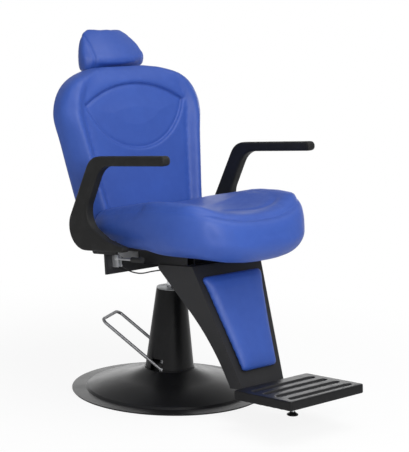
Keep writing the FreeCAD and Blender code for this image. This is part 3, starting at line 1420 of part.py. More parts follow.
def knob_stem(extra):
    """The clamping knob's stem, or with some extra radius the hole for it."""
    h = GUIDE_BOTTOM_H + GUIDE_LENGTH / 2
    start = POST_T + POST_SHEET + END_GAP
    end = POST_T + POST_SHEET + GUIDE_WALL + KNOB_STEM_END
    return placed(rod(V(0, start, h), V(0, end, h), STRUT_PIN_RADIUS + extra), BACK)


def guide_knob():
    """The knob that clamps the headrest's bar."""
    h = GUIDE_BOTTOM_H + GUIDE_LENGTH / 2
    start = POST_T + POST_SHEET + STATIC_GAP + GUIDE_WALL
    knob = placed(rod(V(0, start, h), V(0, start + KNOB_HEIGHT, h), KNOB_RADIUS), BACK)
    return knob.fuse(knob_stem(0)).removeSplitter()


def headrest_board():
    """The board inside the headrest that the bar is fixed to."""
    half = HEAD_BOARD_HALF
    low = HEAD_BOARD_BOTTOM_H
    high = HEAD_BOARD_TOP_H
    corners = [
        (-half, low, HEAD_BOARD_LOW_CORNER),
        (half, low, HEAD_BOARD_LOW_CORNER),
        (half, high, HEAD_BOARD_HIGH_CORNER),
        (-half, high, HEAD_BOARD_HIGH_CORNER),
    ]
    start = POST_T + POST_SHEET
    return placed(front_prism(corners, start, start + HEAD_BOARD_SHEET), BACK)


def head_section(height, front, half):
    """The headrest's closed outline at a height: a rounded front and a flat rear."""
    z = BACK_TOP.z - HEAD_TUCK + height
    rear = BACK_TOP.y + HEAD_BEHIND + HEAD_LEAN * height / HEAD_HEIGHT
    front_y = BACK_TOP.y + HEAD_BEHIND - front
    depth = rear - front_y
    side_y = front_y + 0.42 * depth
    edges = [
        arc(V(-half, side_y, z), V(0, front_y, z), V(half, side_y, z)),
        arc(V(half, side_y, z), V(0.985 * half, side_y + 0.4 * depth, z), V(0.90 * half, rear, z)),
        line(V(0.90 * half, rear, z), V(-0.90 * half, rear, z)),
        arc(V(-0.90 * half, rear, z), V(-0.985 * half, side_y + 0.4 * depth, z), V(-half, side_y, z)),
    ]
    return Part.Wire(edges)


def headrest_cushion():
    """The wedge-shaped headrest cushion."""
    sections = [head_section(up, reach, half) for up, reach, half in HEAD_STEPS_UP]
    sections += [head_section(HEAD_HEIGHT - down, reach, half) for down, reach, half in HEAD_STEPS_DOWN]
    form = Part.makeLoft(sections, True, False)
    return form.cut(headrest_post()).cut(headrest_board())


# Every piece under its own name


def both_sides(name, shape):
    """A left piece and its mirror on the right."""
    return {name + "_left": shape, name + "_right": mirrored(shape)}


def pieces():
    """All the chair's pieces by name."""
    found = {
        "floor_ring": floor_ring(),
        "base_cover": base_cover(),
        "base_plate": base_plate(),
        "pump_casting": pump_casting(),
        "reservoir_tube": reservoir_tube(),
        "pump_cylinder": pump_cylinder(),
        "guide_bush": guide_bush(),
        "column_cover": column_cover(),
        "column_cap": column_cap(),
        "piston": piston(),
        "thrust_washer": thrust_washer(),
        "rocker_shaft": rocker_shaft(),
        "pedal_loop": pedal_loop(),
        "seat_hub": seat_hub(),
        "arm_beam": arm_beam(),
        "crossbar_rear": crossbar_rear(),
        "crossbar_front": crossbar_front(),
        "seat_pan": seat_pan(),
        "seat_board": seat_board(),
        "seat_cushion": seat_cushion(),
        "leg_front_frame": leg_front_frame(),
        "leg_pad": leg_pad(),
        "foot_plate": foot_plate(),
        "foot_tongue": foot_tongue(),
        "foot_stem": foot_stem(),
        "foot_pad": foot_pad(),
        "strut_lug": strut_lug(),
        "strut_cylinder": strut_cylinder(),
        "strut_rod": strut_rod(),
        "recline_shaft": recline_shaft(),
        "recline_arm": recline_arm(),
        "lever_bracket": lever_bracket(),
        "release_lever": release_lever(),
        "lever_grip": lever_grip(),
        "release_cable": release_cable(),
        "lug_ferrule": lug_ferrule(),
        "lever_ferrule": lever_ferrule(),
        "back_cushion": back_cushion(),
        "back_panel": back_panel(),
        "back_cover": back_cover(),
        "headrest_post": headrest_post(),
        "headrest_guide": headrest_guide(),
        "guide_knob": guide_knob(),
        "headrest_board": headrest_board(),
        "headrest_cushion": headrest_cushion(),
    }
    found.update(both_sides("seat_rail", seat_rail()))
    found.update(both_sides("hinge_plate", hinge_plate()))
    found.update(both_sides("leg_plate", leg_plate()))
    found.update(both_sides("back_bracket", back_bracket()))
    found.update(both_sides("arm", arm()))
    for index in range(len(ARM_BOLT_VS)):
        found.update(both_sides("arm_bolt_%d" % (index + 1), arm_bolt(index)))
    return found


def main():
    """Write one file per piece."""
    os.makedirs("parts", exist_ok=True)
    for name, shape in pieces().items():
        if len(shape.Solids) != 1 or not shape.isValid():
            print("look at", name, "solids", len(shape.Solids), "valid", shape.isValid())
        shape.exportStep(os.path.join("parts", name + ".step"))


main()
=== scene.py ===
import json
import math

import bmesh
import bpy
import numpy as np
from bpy.props import FloatProperty, FloatVectorProperty, PointerProperty
from mathutils import Matrix, Vector
from mathutils.bvhtree import BVHTree
from mathutils.kdtree import KDTree

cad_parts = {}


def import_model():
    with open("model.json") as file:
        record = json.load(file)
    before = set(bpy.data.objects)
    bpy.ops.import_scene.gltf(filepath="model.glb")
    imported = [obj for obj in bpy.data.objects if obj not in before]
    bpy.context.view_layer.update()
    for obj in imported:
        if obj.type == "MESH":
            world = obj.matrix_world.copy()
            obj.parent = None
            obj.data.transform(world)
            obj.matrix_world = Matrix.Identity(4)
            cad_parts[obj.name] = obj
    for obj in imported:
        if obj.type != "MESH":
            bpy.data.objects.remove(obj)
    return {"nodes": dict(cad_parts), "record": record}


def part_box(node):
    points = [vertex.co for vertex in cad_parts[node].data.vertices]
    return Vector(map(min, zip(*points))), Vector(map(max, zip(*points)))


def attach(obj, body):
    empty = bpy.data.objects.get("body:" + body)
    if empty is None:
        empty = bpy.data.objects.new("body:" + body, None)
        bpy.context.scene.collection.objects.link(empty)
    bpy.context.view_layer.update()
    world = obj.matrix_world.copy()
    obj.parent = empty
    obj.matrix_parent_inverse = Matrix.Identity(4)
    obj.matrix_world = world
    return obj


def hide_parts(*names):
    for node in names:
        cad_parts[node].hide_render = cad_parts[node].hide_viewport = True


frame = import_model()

bl_info = {
    "name": "Barber Chair",
    "version": (1, 0, 0),
    "blender": (4, 5, 0),
    "location": "3D View > Sidebar > Barber Chair",
    "description": "Upholsters, paints and lights a hydraulic barber chair on its packed frame",
    "category": "Object",
}

# The chair's own frames, in metres: the seat leans back, the backrest leans further
SEAT = Matrix.Translation((0, 0, 0.400)) @ Matrix.Rotation(math.radians(-6.8), 4, "X")
BACK = Matrix.Translation((0, 0.0805, 0.470)) @ Matrix.Rotation(math.radians(-15), 4, "X")
FOOT = Matrix.Translation((0, -0.435, 0.117)) @ Matrix.Rotation(math.radians(-4.15), 4, "X")
LEG = SEAT @ Matrix.Translation((0, -0.243, 0.012)) @ Matrix.Rotation(math.radians(19.22), 4, "X")


def colour_setting(name, description, default):
    """A colour that the user can change."""
    return FloatVectorProperty(name=name, description=description, subtype="COLOR",
                               size=3, min=0, max=1, default=default)


def length_setting(name, description, default, low, high):
    """A length in metres that the user can change."""
    return FloatProperty(name=name, description=description, subtype="DISTANCE", unit="LENGTH",
                         default=default, min=low, max=high)


def lamp_setting(name, description, default):
    """A lamp's power in watts that the user can change."""
    return FloatProperty(name=name, description=description, subtype="POWER", unit="POWER",
                         default=default, min=0, max=500)


class UpholsterySettings(bpy.types.PropertyGroup):
    """The blue vinyl, its grain and its seams."""

    vinyl: colour_setting("Vinyl", "Colour of the blue vinyl", (0.0205, 0.0765, 0.3720))
    # The darker vinyl tone: slow random patches use it, and so does the painted shade in the grain's
    # creases
    shade: colour_setting("Vinyl shade", "Colour where the vinyl has darkened",
                          (0.0158, 0.0620, 0.3220))
    thread: colour_setting("Thread", "Colour of the sewing thread", (0.0190, 0.0700, 0.350))
    grain: length_setting("Grain", "Width of one grain cell in the vinyl", 0.0013, 0.0003, 0.01)
    voxel: length_setting("Mesh size", "Size of the mesh that the padding swells in",
                          0.006, 0.003, 0.02)
    seam_width: length_setting("Seam width", "Half width of a sewn channel", 0.0045, 0.001, 0.02)
    seam_depth: length_setting("Seam depth", "Depth of a sewn channel", 0.0032, 0, 0.01)
    stitch: length_setting("Stitch length", "Length of one stitch", 0.0034, 0.001, 0.01)
    pitch: length_setting("Stitch pitch", "Distance from one stitch to the next",
                          0.0050, 0.002, 0.02)
    thread_radius: length_setting("Thread radius", "Half the thickness of the thread",
                                  0.00045, 0.0001, 0.002)
    pressure: FloatProperty(name="Padding pressure", default=4.0, min=0, max=20,
                            description="How hard the foam pushes the cover out")


class MetalSettings(bpy.types.PropertyGroup):
    """The painted, plated and moulded finishes."""

    frame_paint: colour_setting("Frame paint", "Powder coat on the frame",
                                (0.0150, 0.0150, 0.0168))
    cover_paint: colour_setting("Cover paint", "Satin paint on the base and column",
                                (0.0062, 0.0063, 0.0070))
    foot_paint: colour_setting("Footrest paint", "Satin paint on the footrest",
                               (0.0068, 0.0068, 0.0080))
    arm_plastic: colour_setting("Arm plastic", "Moulded plastic of the arms",
                                (0.0135, 0.0135, 0.0136))
    zinc: colour_setting("Zinc", "Zinc plating", (0.74, 0.75, 0.77))
    pedal: colour_setting("Pedal steel", "Bent rod of the pump pedal", (0.30, 0.30, 0.31))


class StageSettings(bpy.types.PropertyGroup):
    """The camera, the floor and the lamps."""

    lens: FloatProperty(name="Lens", description="Focal length on a 36 mm frame",
                        subtype="DISTANCE_CAMERA", unit="CAMERA", default=132.73, min=20, max=400)
    sky: FloatProperty(name="Sky", description="Strength of the even light all round",
                       default=0.40, min=0, max=2)
    gloss: FloatProperty(name="Gloss", default=0.22, min=0, max=1,
                         description="How bright the backdrop shows in shiny surfaces")
    left_lamp: lamp_setting("Left lamp", "Soft lamp on the camera's left", 8.0)
    front_lamp: lamp_setting("Front lamp", "Soft lamp near the camera", 66.0)
    top_lamp: lamp_setting("Top lamp", "Soft lamp above the chair", 42.0)
    rear_lamp: lamp_setting("Rear lamp", "Low pale screen behind the chair", 40.0)
    floor: colour_setting("Floor", "Colour of the pale floor", (0.90, 0.90, 0.90))


def settings():
    """The chair's settings in the current scene."""
    scene = bpy.context.scene
    return scene.chair_upholstery, scene.chair_metal, scene.chair_stage


class Wire:
    """An output in a node tree, which Python's own operators work on."""

    def __init__(self, nodes, socket):
        self.nodes = nodes
        self.socket = socket

    def other(self, name):
        """Another output of the same node."""
        return Wire(self.nodes, self.socket.node.outputs[name])

    def maths(self, operation, first, second, clamp=False):
        return self.nodes.node("ShaderNodeMath", {0: first, 1: second},
                               operation=operation, use_clamp=clamp)

    def __add__(self, other):
        return self.maths("ADD", self, other)

    __radd__ = __add__

    def __rsub__(self, other):
        return self.maths("SUBTRACT", other, self)

    def __mul__(self, other):
        return self.maths("MULTIPLY", self, other)

    def clamped(self):
        return self.maths("ADD", self, 0.0, True)

    def most(self, other):
        return self.maths("MAXIMUM", self, other)


class Nodes:
    """A node tree under construction."""

    def __init__(self, tree):
        self.tree = tree
        self.tree.nodes.clear()

    def node(self, kind, values=None, output=0, **choices):
        """Adds a node, makes its choices, fills or links its sockets and gives one output."""
        node = self.tree.nodes.new(kind)
        for name, choice in choices.items():
            setattr(node, name, choice)
        for key, value in (values or {}).items():
            if isinstance(value, Wire):
                self.tree.links.new(value.socket, node.inputs[key])
            else:
                node.inputs[key].default_value = value
        return Wire(self, node.outputs[output]) if node.outputs else None


FINISHES = {}


class Finish(Nodes):
    """A material under construction: its patterns and its shader."""

    def __init__(self, name):
        self.name = name
        self.material = bpy.data.materials.new(name)
        self.material.use_nodes = True
        super().__init__(self.material.node_tree)
        self.place = self.node("ShaderNodeTexCoord", output="Object")

    def stretched(self, scale, turn=(0, 0, 0)):
        """The object's coordinates, scaled and turned."""
        return self.node("ShaderNodeMapping", {
            "Vector": self.place, "Scale": scale, "Rotation": turn})

    def clouds(self, scale, detail=3.0, roughness=0.5, where=None):
        """Soft noise from 0 to 1, at so many patches in a metre."""
        return self.node("ShaderNodeTexNoise", {
            "Vector": where or self.place, "Scale": scale, "Detail": detail, "Roughness": roughness})

    def cells(self, scale, feature="DISTANCE_TO_EDGE"):
        """Cells with creases between them, at so many in a metre."""
        return self.node("ShaderNodeTexVoronoi", {"Vector": self.place, "Scale": scale},
                         "Distance", feature=feature)

    def between(self, value, low, high):
        """A smooth rise from 0 to 1 as a value goes from low to high."""
        return self.node("ShaderNodeMapRange", {0: value, 1: low, 2: high},
                         interpolation_type="SMOOTHSTEP")

    def mixed(self, share, first, second):
        """Two colours, written or linked, mixed by a share."""
        first, second = [(*c, 1) if isinstance(c, tuple) else c for c in (first, second)]
        return self.node("ShaderNodeMix", {0: share, 6: first, 7: second}, 2, data_type="RGBA")

    def bumped(self, height, depth, strength):
        """A normal that follows a height, in metres of depth."""
        return self.node("ShaderNodeBump", {
            "Height": height, "Distance": depth, "Strength": strength})

    def along(self, axes):
        """One of the object's coordinates, or a sum of them, as a value."""
        return self.node("ShaderNodeVectorMath", {0: self.place, 1: axes}, "Value",
                         operation="DOT_PRODUCT")

    def length(self, vector):
        """How long a vector is."""
        return self.node("ShaderNodeVectorMath", {0: vector}, "Value", operation="LENGTH")

    def done(self, **sockets):
        """Closes the material with a Principled shader, and keeps it under its name."""
        names = {key.replace("_", " "): value for key, value in sockets.items()}
        shader = self.node("ShaderNodeBsdfPrincipled", names)
        self.node("ShaderNodeOutputMaterial", {"Surface": shader})
        FINISHES[self.name] = self.material


def shaded(colour, share):
    """A colour made darker or lighter by a share."""
    return tuple(min(1.0, channel * share) for channel in colour)


def vinyl_finish(name, colour, shade, cell):
    """Upholstery vinyl: fine leather grain with pores and painted shade in its creases, a soft shine
    and slow changes of colour.
    """
    f = Finish(name)
    slow = f.clouds(5.0, 2.0)
    patches = f.clouds(38.0, 4.0, 0.6)
    grain = f.cells(1.0 / cell)
    creases = f.between(grain, 0.0, 0.22)
    pores = f.between(f.cells(0.37 / cell, "F1"), 0.0, 0.16)
    wrinkle = f.clouds(210.0, 3.0, 0.6)
    # Darker tone in slow random patches, plus painted shade darkening the grain's creases
    share = (f.between(slow, 0.3, 0.7) * 0.55 + f.between(patches, 0.35, 0.65) * 0.25
             + (1 - creases) * 0.20).clamped()
    tone = f.mixed(share, colour, shade)
    worn = f.mixed(f.between(patches, 0.60, 0.85) * 0.20, tone, shaded(colour, 1.2))
    height = creases * 0.6 + pores * 0.25 + wrinkle * 0.35
    rough = 0.50 + f.between(patches, 0.3, 0.7) * 0.07 + (1 - creases) * 0.08
    f.done(Base_Color=worn, Roughness=rough, IOR=1.45, Specular_IOR_Level=0.54,
           Normal=f.bumped(height, 0.00016, 0.75), Coat_Weight=0.20, Coat_Roughness=0.36,
           Sheen_Weight=0.03, Sheen_Roughness=0.5, Sheen_Tint=(0.60, 0.62, 1.0, 1.0))


def powder_finish(name, colour):
    """Powder coat: a fine orange peel, random patches of lighter dust and faint scuffs."""
    f = Finish(name)
    peel = f.clouds(950.0, 2.0)
    dust = f.between(f.clouds(16.0, 4.0, 0.6), 0.48, 0.74)
    streaks = f.clouds(1.0, 4.0, 0.7, f.stretched((14, 14, 90), (0.4, 0.2, 0)))
    scuff = f.between(streaks, 0.66, 0.74) * 0.15
    tone = f.mixed(dust * 0.35, colour, shaded(colour, 1.7))
    tone = f.mixed(scuff, tone, shaded(colour, 3.2))
    roughness = 0.46 + dust * 0.10 + scuff * 0.25
    f.done(Base_Color=tone, Roughness=roughness, Specular_IOR_Level=0.30,
           Normal=f.bumped(peel, 0.00010, 0.8))


def spun_finish(name, colour):
    """Satin paint over a spun sheet: fine rings round the axis, random dust, lighter and rougher in
    the lowest 7 cm, soft sheen.
    """
    f = Finish(name)
    radius = f.length(f.node("ShaderNodeVectorMath", {0: f.place, 1: (1, 1, 0)}, operation="MULTIPLY"))
    rings = f.clouds(1.0, 3.0, 0.6, f.node("ShaderNodeCombineXYZ", {
        "X": radius * 900.0, "Y": f.along((0, 0, 240.0))}))
    peel = f.clouds(700.0, 2.0)
    dust = f.between(f.clouds(11.0, 5.0, 0.65), 0.45, 0.75)
    # Lighter and rougher towards the bottom, within 7 cm of the floor
    low = f.between(f.along((0, 0, 1)), 0.07, 0.0)
    tone = f.mixed((dust * 0.25 + low * 0.30).clamped(), colour, shaded(colour, 2.6))
    scratches = f.between(f.clouds(1.0, 3.0, 0.7, f.stretched((120, 6, 30), (0, 0, 0.6))), 0.70, 0.76)
    tone = f.mixed(scratches * 0.10, tone, (0.10, 0.105, 0.12))
    roughness = 0.29 + dust * 0.06 + rings * 0.05 + low * 0.05
    f.done(Base_Color=tone, Roughness=roughness, IOR=1.34, Specular_IOR_Level=0.38,
           Normal=f.bumped(rings * 0.5 + peel * 0.5, 0.00004, 0.8))


def moulded_finish(name, colour, rough):
    """Moulded plastic or soft polyurethane: a leathery pebble and handled, shinier patches."""
    f = Finish(name)
    pebble = f.between(f.cells(1.0 / 0.0013), 0.0, 0.30)
    fine = f.clouds(1500.0, 2.0)
    handled = f.between(f.clouds(22.0, 3.0), 0.42, 0.66)
    tone = f.mixed(handled * 0.5, colour, shaded(colour, 1.35))
    roughness = rough - handled * 0.09 + (1 - pebble) * 0.08
    f.done(Base_Color=tone, Roughness=roughness, Specular_IOR_Level=0.17,
           Normal=f.bumped(pebble * 0.7 + fine * 0.3, 0.00012, 0.8))


def metal_finish(name, colour, rough, stretch, stain=0.2, coarse=0.0):
    """Bare or plated metal: drawn lines, dull patches and fingerprints."""
    f = Finish(name)
    lines = f.clouds(1.0, 4.0, 0.7, f.stretched(stretch))
    patches = f.between(f.clouds(24.0, 4.0, 0.6), 0.40, 0.72)
    spangle = f.cells(160.0, "F1")
    tone = f.mixed(patches * stain, colour, shaded(colour, 0.62))
    roughness = rough + lines * 0.10 + patches * 0.10
    height = lines * (1.0 - coarse) + spangle * coarse
    f.done(Base_Color=tone, Roughness=roughness, Metallic=1.0,
           Normal=f.bumped(height, 0.00004, 0.7))


def cast_finish(name, colour):
    """Sand-cast iron: a pitted skin with traces of rust."""
    f = Finish(name)
    pits = f.clouds(420.0, 5.0, 0.7)
    rust = f.between(f.clouds(30.0, 5.0, 0.7), 0.58, 0.70)
    tone = f.mixed(rust * 0.45, colour, (0.09, 0.045, 0.025))
    f.done(Base_Color=tone, Roughness=0.62 + rust * 0.2, Metallic=0.7,
           Normal=f.bumped(pits, 0.0004, 0.8))


def plywood_finish(name):
    """Plywood stained black: long grain, thin plies on the cut edges."""
    f = Finish(name)
    grain = f.clouds(1.0, 5.0, 0.65, f.stretched((30, 3, 30)))
    rings = f.node("ShaderNodeTexWave", {
        "Vector": f.stretched((3.0, 0.25, 9.0)), "Scale": 6.0, "Distortion": 5.0, "Detail": 3.0},
        "Fac", wave_type="RINGS", rings_direction="Y")
    plies = f.node("ShaderNodeTexWave", {"Vector": f.place, "Scale": 170.0, "Distortion": 0.6},
                   "Fac", bands_direction="Z")
    tone = f.mixed(grain * 0.6 + rings * 0.3, (0.022, 0.018, 0.015), (0.011, 0.009, 0.008))
    tone = f.mixed(plies * 0.25, tone, (0.040, 0.030, 0.022))
    f.done(Base_Color=tone, Roughness=0.62 + grain * 0.1,
           Normal=f.bumped(grain, 0.0002, 0.6))


def rubber_finish(name, colour):
    """Black rubber, matt, with a dusty bloom."""
    f = Finish(name)
    bloom = f.between(f.clouds(40.0, 4.0, 0.6), 0.45, 0.75)
    tone = f.mixed(bloom * 0.5, colour, shaded(colour, 2.0))
    f.done(Base_Color=tone, Roughness=0.68 + bloom * 0.12, Specular_IOR_Level=0.35,
           Normal=f.bumped(f.clouds(1300.0, 3.0), 0.00010, 0.8))


def tread_finish(name, colour):
    """Footrest paint: painted shade in its grip grooves, rubbed bright along the tops of the ridges.
    """
    f = Finish(name)
    place = FOOT.inverted()
    depth = f.along(tuple(place[2][:3])) + place[2][3]
    hollow = f.between(depth, -0.0005, -0.0035)
    rubbed = f.between(f.clouds(1.0, 4.0, 0.65, f.stretched((26, 9, 26))), 0.50, 0.72)
    on_top = 1 - hollow
    tone = f.mixed(rubbed * on_top * 0.6, colour, shaded(colour, 2.6))
    # Painted shade: the grip grooves are darkened to 0.45 of the paint's colour
    tone = f.mixed(hollow * 0.75, tone, shaded(colour, 0.45))
    roughness = 0.38 + rubbed * 0.10 + hollow * 0.16
    f.done(Base_Color=tone, Roughness=roughness, Specular_IOR_Level=0.24,
           Normal=f.bumped(f.clouds(800.0, 2.0), 0.00010, 0.8))


def thread_finish(name, colour):
    """Bonded sewing thread with a twist."""
    f = Finish(name)
    twist = f.clouds(1.0, 2.0, 0.5, f.stretched((2400, 2400, 2400)))
    tone = f.mixed(twist, colour, shaded(colour, 1.6))
    f.done(Base_Color=tone, Roughness=0.55, Normal=f.bumped(twist, 0.00010, 0.6))


def make_finishes():
    """Makes every material once, under the record's slot names."""
    cloth, metal = settings()[:2]
    vinyl_finish("blue_vinyl", tuple(cloth.vinyl), tuple(cloth.shade), cloth.grain)
    powder_finish("frame_black", tuple(metal.frame_paint))
    spun_finish("cover_paint", tuple(metal.cover_paint))
    tread_finish("foot_paint", tuple(metal.foot_paint))
    moulded_finish("arm_plastic", tuple(metal.arm_plastic), 0.47)
    moulded_finish("black_plastic", (0.0125, 0.0125, 0.0132), 0.44)
    rubber_finish("rubber_black", (0.014, 0.014, 0.015))
    cast_finish("cast_iron", (0.085, 0.085, 0.088))
    metal_finish("steel", (0.50, 0.51, 0.53), 0.26, (40, 40, 400))
    metal_finish("chrome", (0.78, 0.79, 0.81), 0.07, (60, 60, 500), 0.05)
    metal_finish("satin_aluminium", (0.40, 0.41, 0.42), 0.40, (300, 300, 60))
    metal_finish("bronze", (0.50, 0.33, 0.15), 0.34, (300, 300, 40))
    metal_finish("pedal_steel", tuple(metal.pedal), 0.36, (60, 60, 60), 0.35)
    metal_finish("zinc", tuple(metal.zinc), 0.42, (50, 50, 50), 0.25, 0.6)
    plywood_finish("plywood")
    thread_finish("thread", tuple(cloth.thread))


def linked(name, data):
    """A new object at the origin, linked to the scene."""
    obj = bpy.data.objects.new(name, data)
    bpy.context.scene.collection.objects.link(obj)
    return obj


def dressed(obj, node, body, slot):
    """Paints a piece, and lets it stand for a CAD solid and ride on a body."""
    obj.data.materials.clear()
    obj.data.materials.append(FINISHES[slot])
    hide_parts(node)
    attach(obj, body)
    return obj


def points_of(obj):
    """The mesh's points as an array."""
    flat = np.empty(len(obj.data.vertices) * 3)
    obj.data.vertices.foreach_get("co", flat)
    return flat.reshape(-1, 3)


def move_points(obj, points):
    """Puts the mesh's points at new places."""
    obj.data.vertices.foreach_set("co", np.asarray(points, float).ravel())
    obj.data.update()


def normals_of(obj):
    flat = np.empty(len(obj.data.vertices) * 3)
    obj.data.vertex_normals.foreach_get("vector", flat)
    return flat.reshape(-1, 3)


def local(points, place):
    """World points in one of the chair's own frames."""
    inverse = np.array(place.inverted())
    return points @ inverse[:3, :3].T + inverse[:3, 3]


def ramp(values, start, end):
    """From 0 at the start to 1 at the end, and level beyond them."""
    return np.clip((values - start) / (end - start), 0, 1)


def world(points, place):
    """Points of one of the chair's own frames in the world."""
    matrix = np.array(place)
    return np.asarray(points) @ matrix[:3, :3].T + matrix[:3, 3]


def apply_modifiers(obj):
    """Replaces the object's mesh with what its modifiers make of it."""
    graph = bpy.context.evaluated_depsgraph_get()
    mesh = bpy.data.meshes.new_from_object(obj.evaluated_get(graph))
    old = obj.data
    obj.modifiers.clear()
    obj.data = mesh
    bpy.data.meshes.remove(old)
    return obj


def remeshed(node, name, voxel, rounds):
    """A welded copy of a CAD cushion, remeshed in even cells and eased."""
    mesh = bpy.data.meshes.new(name)
    shape = bmesh.new()
    shape.from_mesh(frame["nodes"][node].data)
    bmesh.ops.remove_doubles(shape, verts=shape.verts, dist=1e-6)
    shape.to_mesh(mesh)
    shape.free()
    obj = linked(name, mesh)
    cells = obj.modifiers.new("cells", "REMESH")
    cells.mode = "VOXEL"
    cells.voxel_size = voxel
    return eased(obj, rounds)


def calmed(obj, shift, rounds):
    """Evens a movement out over the mesh, so that its fullness stays and its folds go."""
    pairs = np.empty(len(obj.data.edges) * 2, int)
    obj.data.edges.foreach_get("vertices", pairs)
    first, second = np.concatenate([pairs.reshape(-1, 2), pairs.reshape(-1, 2)[:, ::-1]]).T
    count = np.maximum(np.bincount(first, minlength=len(shift)), 1)
    for _ in range(rounds):
        around = [np.bincount(first, shift[second, k], len(shift)) / count for k in range(3)]
        shift = (shift + np.stack(around, axis=1)) / 2
    return shift


# The vinyl cover as cloth, and the frames in which the padding swells
COVER = {"quality": 4, "mass": 0.35, "tension_stiffness": 18, "compression_stiffness": 18,
         "shear_stiffness": 6, "bending_stiffness": 2.0, "use_pressure": True}
SWELLING_FRAMES = 20


def swollen(obj, pressure, cap, held, calm=8):
    """Blows the padding up as cloth, moving no point further than the cap, and none that is held."""
    scene = bpy.context.scene
    rest = points_of(obj)
    group = obj.vertex_groups.new(name="held")
    group.add(np.nonzero(held)[0].tolist(), 1.0, "REPLACE")
    cloth = obj.modifiers.new("padding", "CLOTH")
    for name, value in COVER.items():
        setattr(cloth.settings, name, value)
    cloth.settings.uniform_pressure_force = pressure
    cloth.settings.effector_weights.gravity = 0
    cloth.settings.vertex_group_mass = "held"
    cloth.point_cache.frame_start = 1
    cloth.point_cache.frame_end = SWELLING_FRAMES
    for number in range(1, SWELLING_FRAMES + 1):
        scene.frame_set(number)
    graph = bpy.context.evaluated_depsgraph_get()
    shift = points_of(obj.evaluated_get(graph)) - rest
    length = np.linalg.norm(shift, axis=1)
    shift *= np.minimum(1.0, cap / np.maximum(length, 1e-9))[:, None]
    obj.modifiers.clear()
    obj.vertex_groups.clear()
    move_points(obj, rest + calmed(obj, shift, calm))
    scene.frame_set(1)


def eased(obj, rounds, levels=0):
    """Smooths the mesh, and divides it if asked."""
    ease = obj.modifiers.new("ease", "SMOOTH")
    ease.factor = 0.5
    ease.iterations = rounds
    if levels:
        finer = obj.modifiers.new("finer", "SUBSURF")
        finer.levels = levels
        finer.render_levels = levels
    return apply_modifiers(obj)


def smooth_faces(obj):
    obj.data.polygons.foreach_set("use_smooth", [True] * len(obj.data.polygons))
    obj.data.update()
    return obj


def tree_of(obj):
    """A search tree over the object's faces."""
    return BVHTree.FromPolygons([v.co for v in obj.data.vertices],
                                [p.vertices for p in obj.data.polygons])


def laid_on(tree, points, direction, back=0.2):
    """The points, dropped along a direction on to a surface; those that miss are left out."""
    way = Vector(direction).normalized()
    found = []
    for point in points:
        hit = tree.ray_cast(Vector(point) - way * back, way, back * 3)[0]
        if hit is not None:
            found.append(hit)
    return found


def resampled(points, step, closed=False):
    """Points an even step apart along a line."""
    line = np.array([tuple(p) for p in points])
    if closed:
        line = np.vstack([line, line[:1]])
    runs = np.linalg.norm(np.diff(line, axis=0), axis=1)
    length = np.concatenate([[0], np.cumsum(runs)])
    count = max(3, int(length[-1] / step))
    marks = np.linspace(0, length[-1], count + 1)
    if closed:
        marks = marks[:-1]
    return np.stack([np.interp(marks, length, line[:, k]) for k in range(3)], axis=1)


def eased_line(points, rounds=6, closed=False):
    """A line with its jitter taken out."""
    line = np.array(points)
    for _ in range(rounds):
        if closed:
            line = (np.roll(line, 1, 0) + 2 * line + np.roll(line, -1, 0)) / 4
        else:
            line[1:-1] = (line[:-2] + 2 * line[1:-1] + line[2:]) / 4
    return line


def pressed(obj, lines, depth, width, fade=1.0, puff=0.0, reach=0.02):
    """Sews channels into a cushion: its skin goes in at the lines and stands up beside them."""
    spots = np.vstack(lines)
    tree = KDTree(len(spots))
    for index, spot in enumerate(spots):
        tree.insert(Vector(spot), index)
    tree.balance()
    points = points_of(obj)
    normals = normals_of(obj)
    gap = np.array([tree.find(Vector(p))[2] for p in points])
    share = -depth * np.exp(-(gap / width) ** 2)
    share += puff * np.exp(-((gap - reach) / (reach * 0.55)) ** 2)
    move_points(obj, points + normals * (share * fade)[:, None])


def sections(obj, point, normal, fewest=12):
    """The closed outlines, of more than so many points, where a plane cuts a piece."""
    shape = bmesh.new()
    shape.from_mesh(obj.data)
    cut = bmesh.ops.bisect_plane(shape, geom=shape.verts[:] + shape.edges[:] + shape.faces[:],
                                 plane_co=point, plane_no=normal)["geom_cut"]
    edges = {e: True for e in cut if isinstance(e, bmesh.types.BMEdge)}
    loops = []
    while edges:
        chain = list(edges.popitem()[0].verts)
        while onward := [edge for edge in chain[-1].link_edges if edge in edges]:
            del edges[onward[0]]
            chain.append(onward[0].other_vert(chain[-1]))
        loops.append([v.co.copy() for v in chain])
    shape.free()
    return [loop for loop in loops if len(loop) > fewest]


def turning(line):
    """Below zero where a closed line runs clockwise, seen from +X, and above zero otherwise."""
    y, z = line[:, 1], line[:, 2]
    return np.sum(y * np.roll(z, -1) - z * np.roll(y, -1))


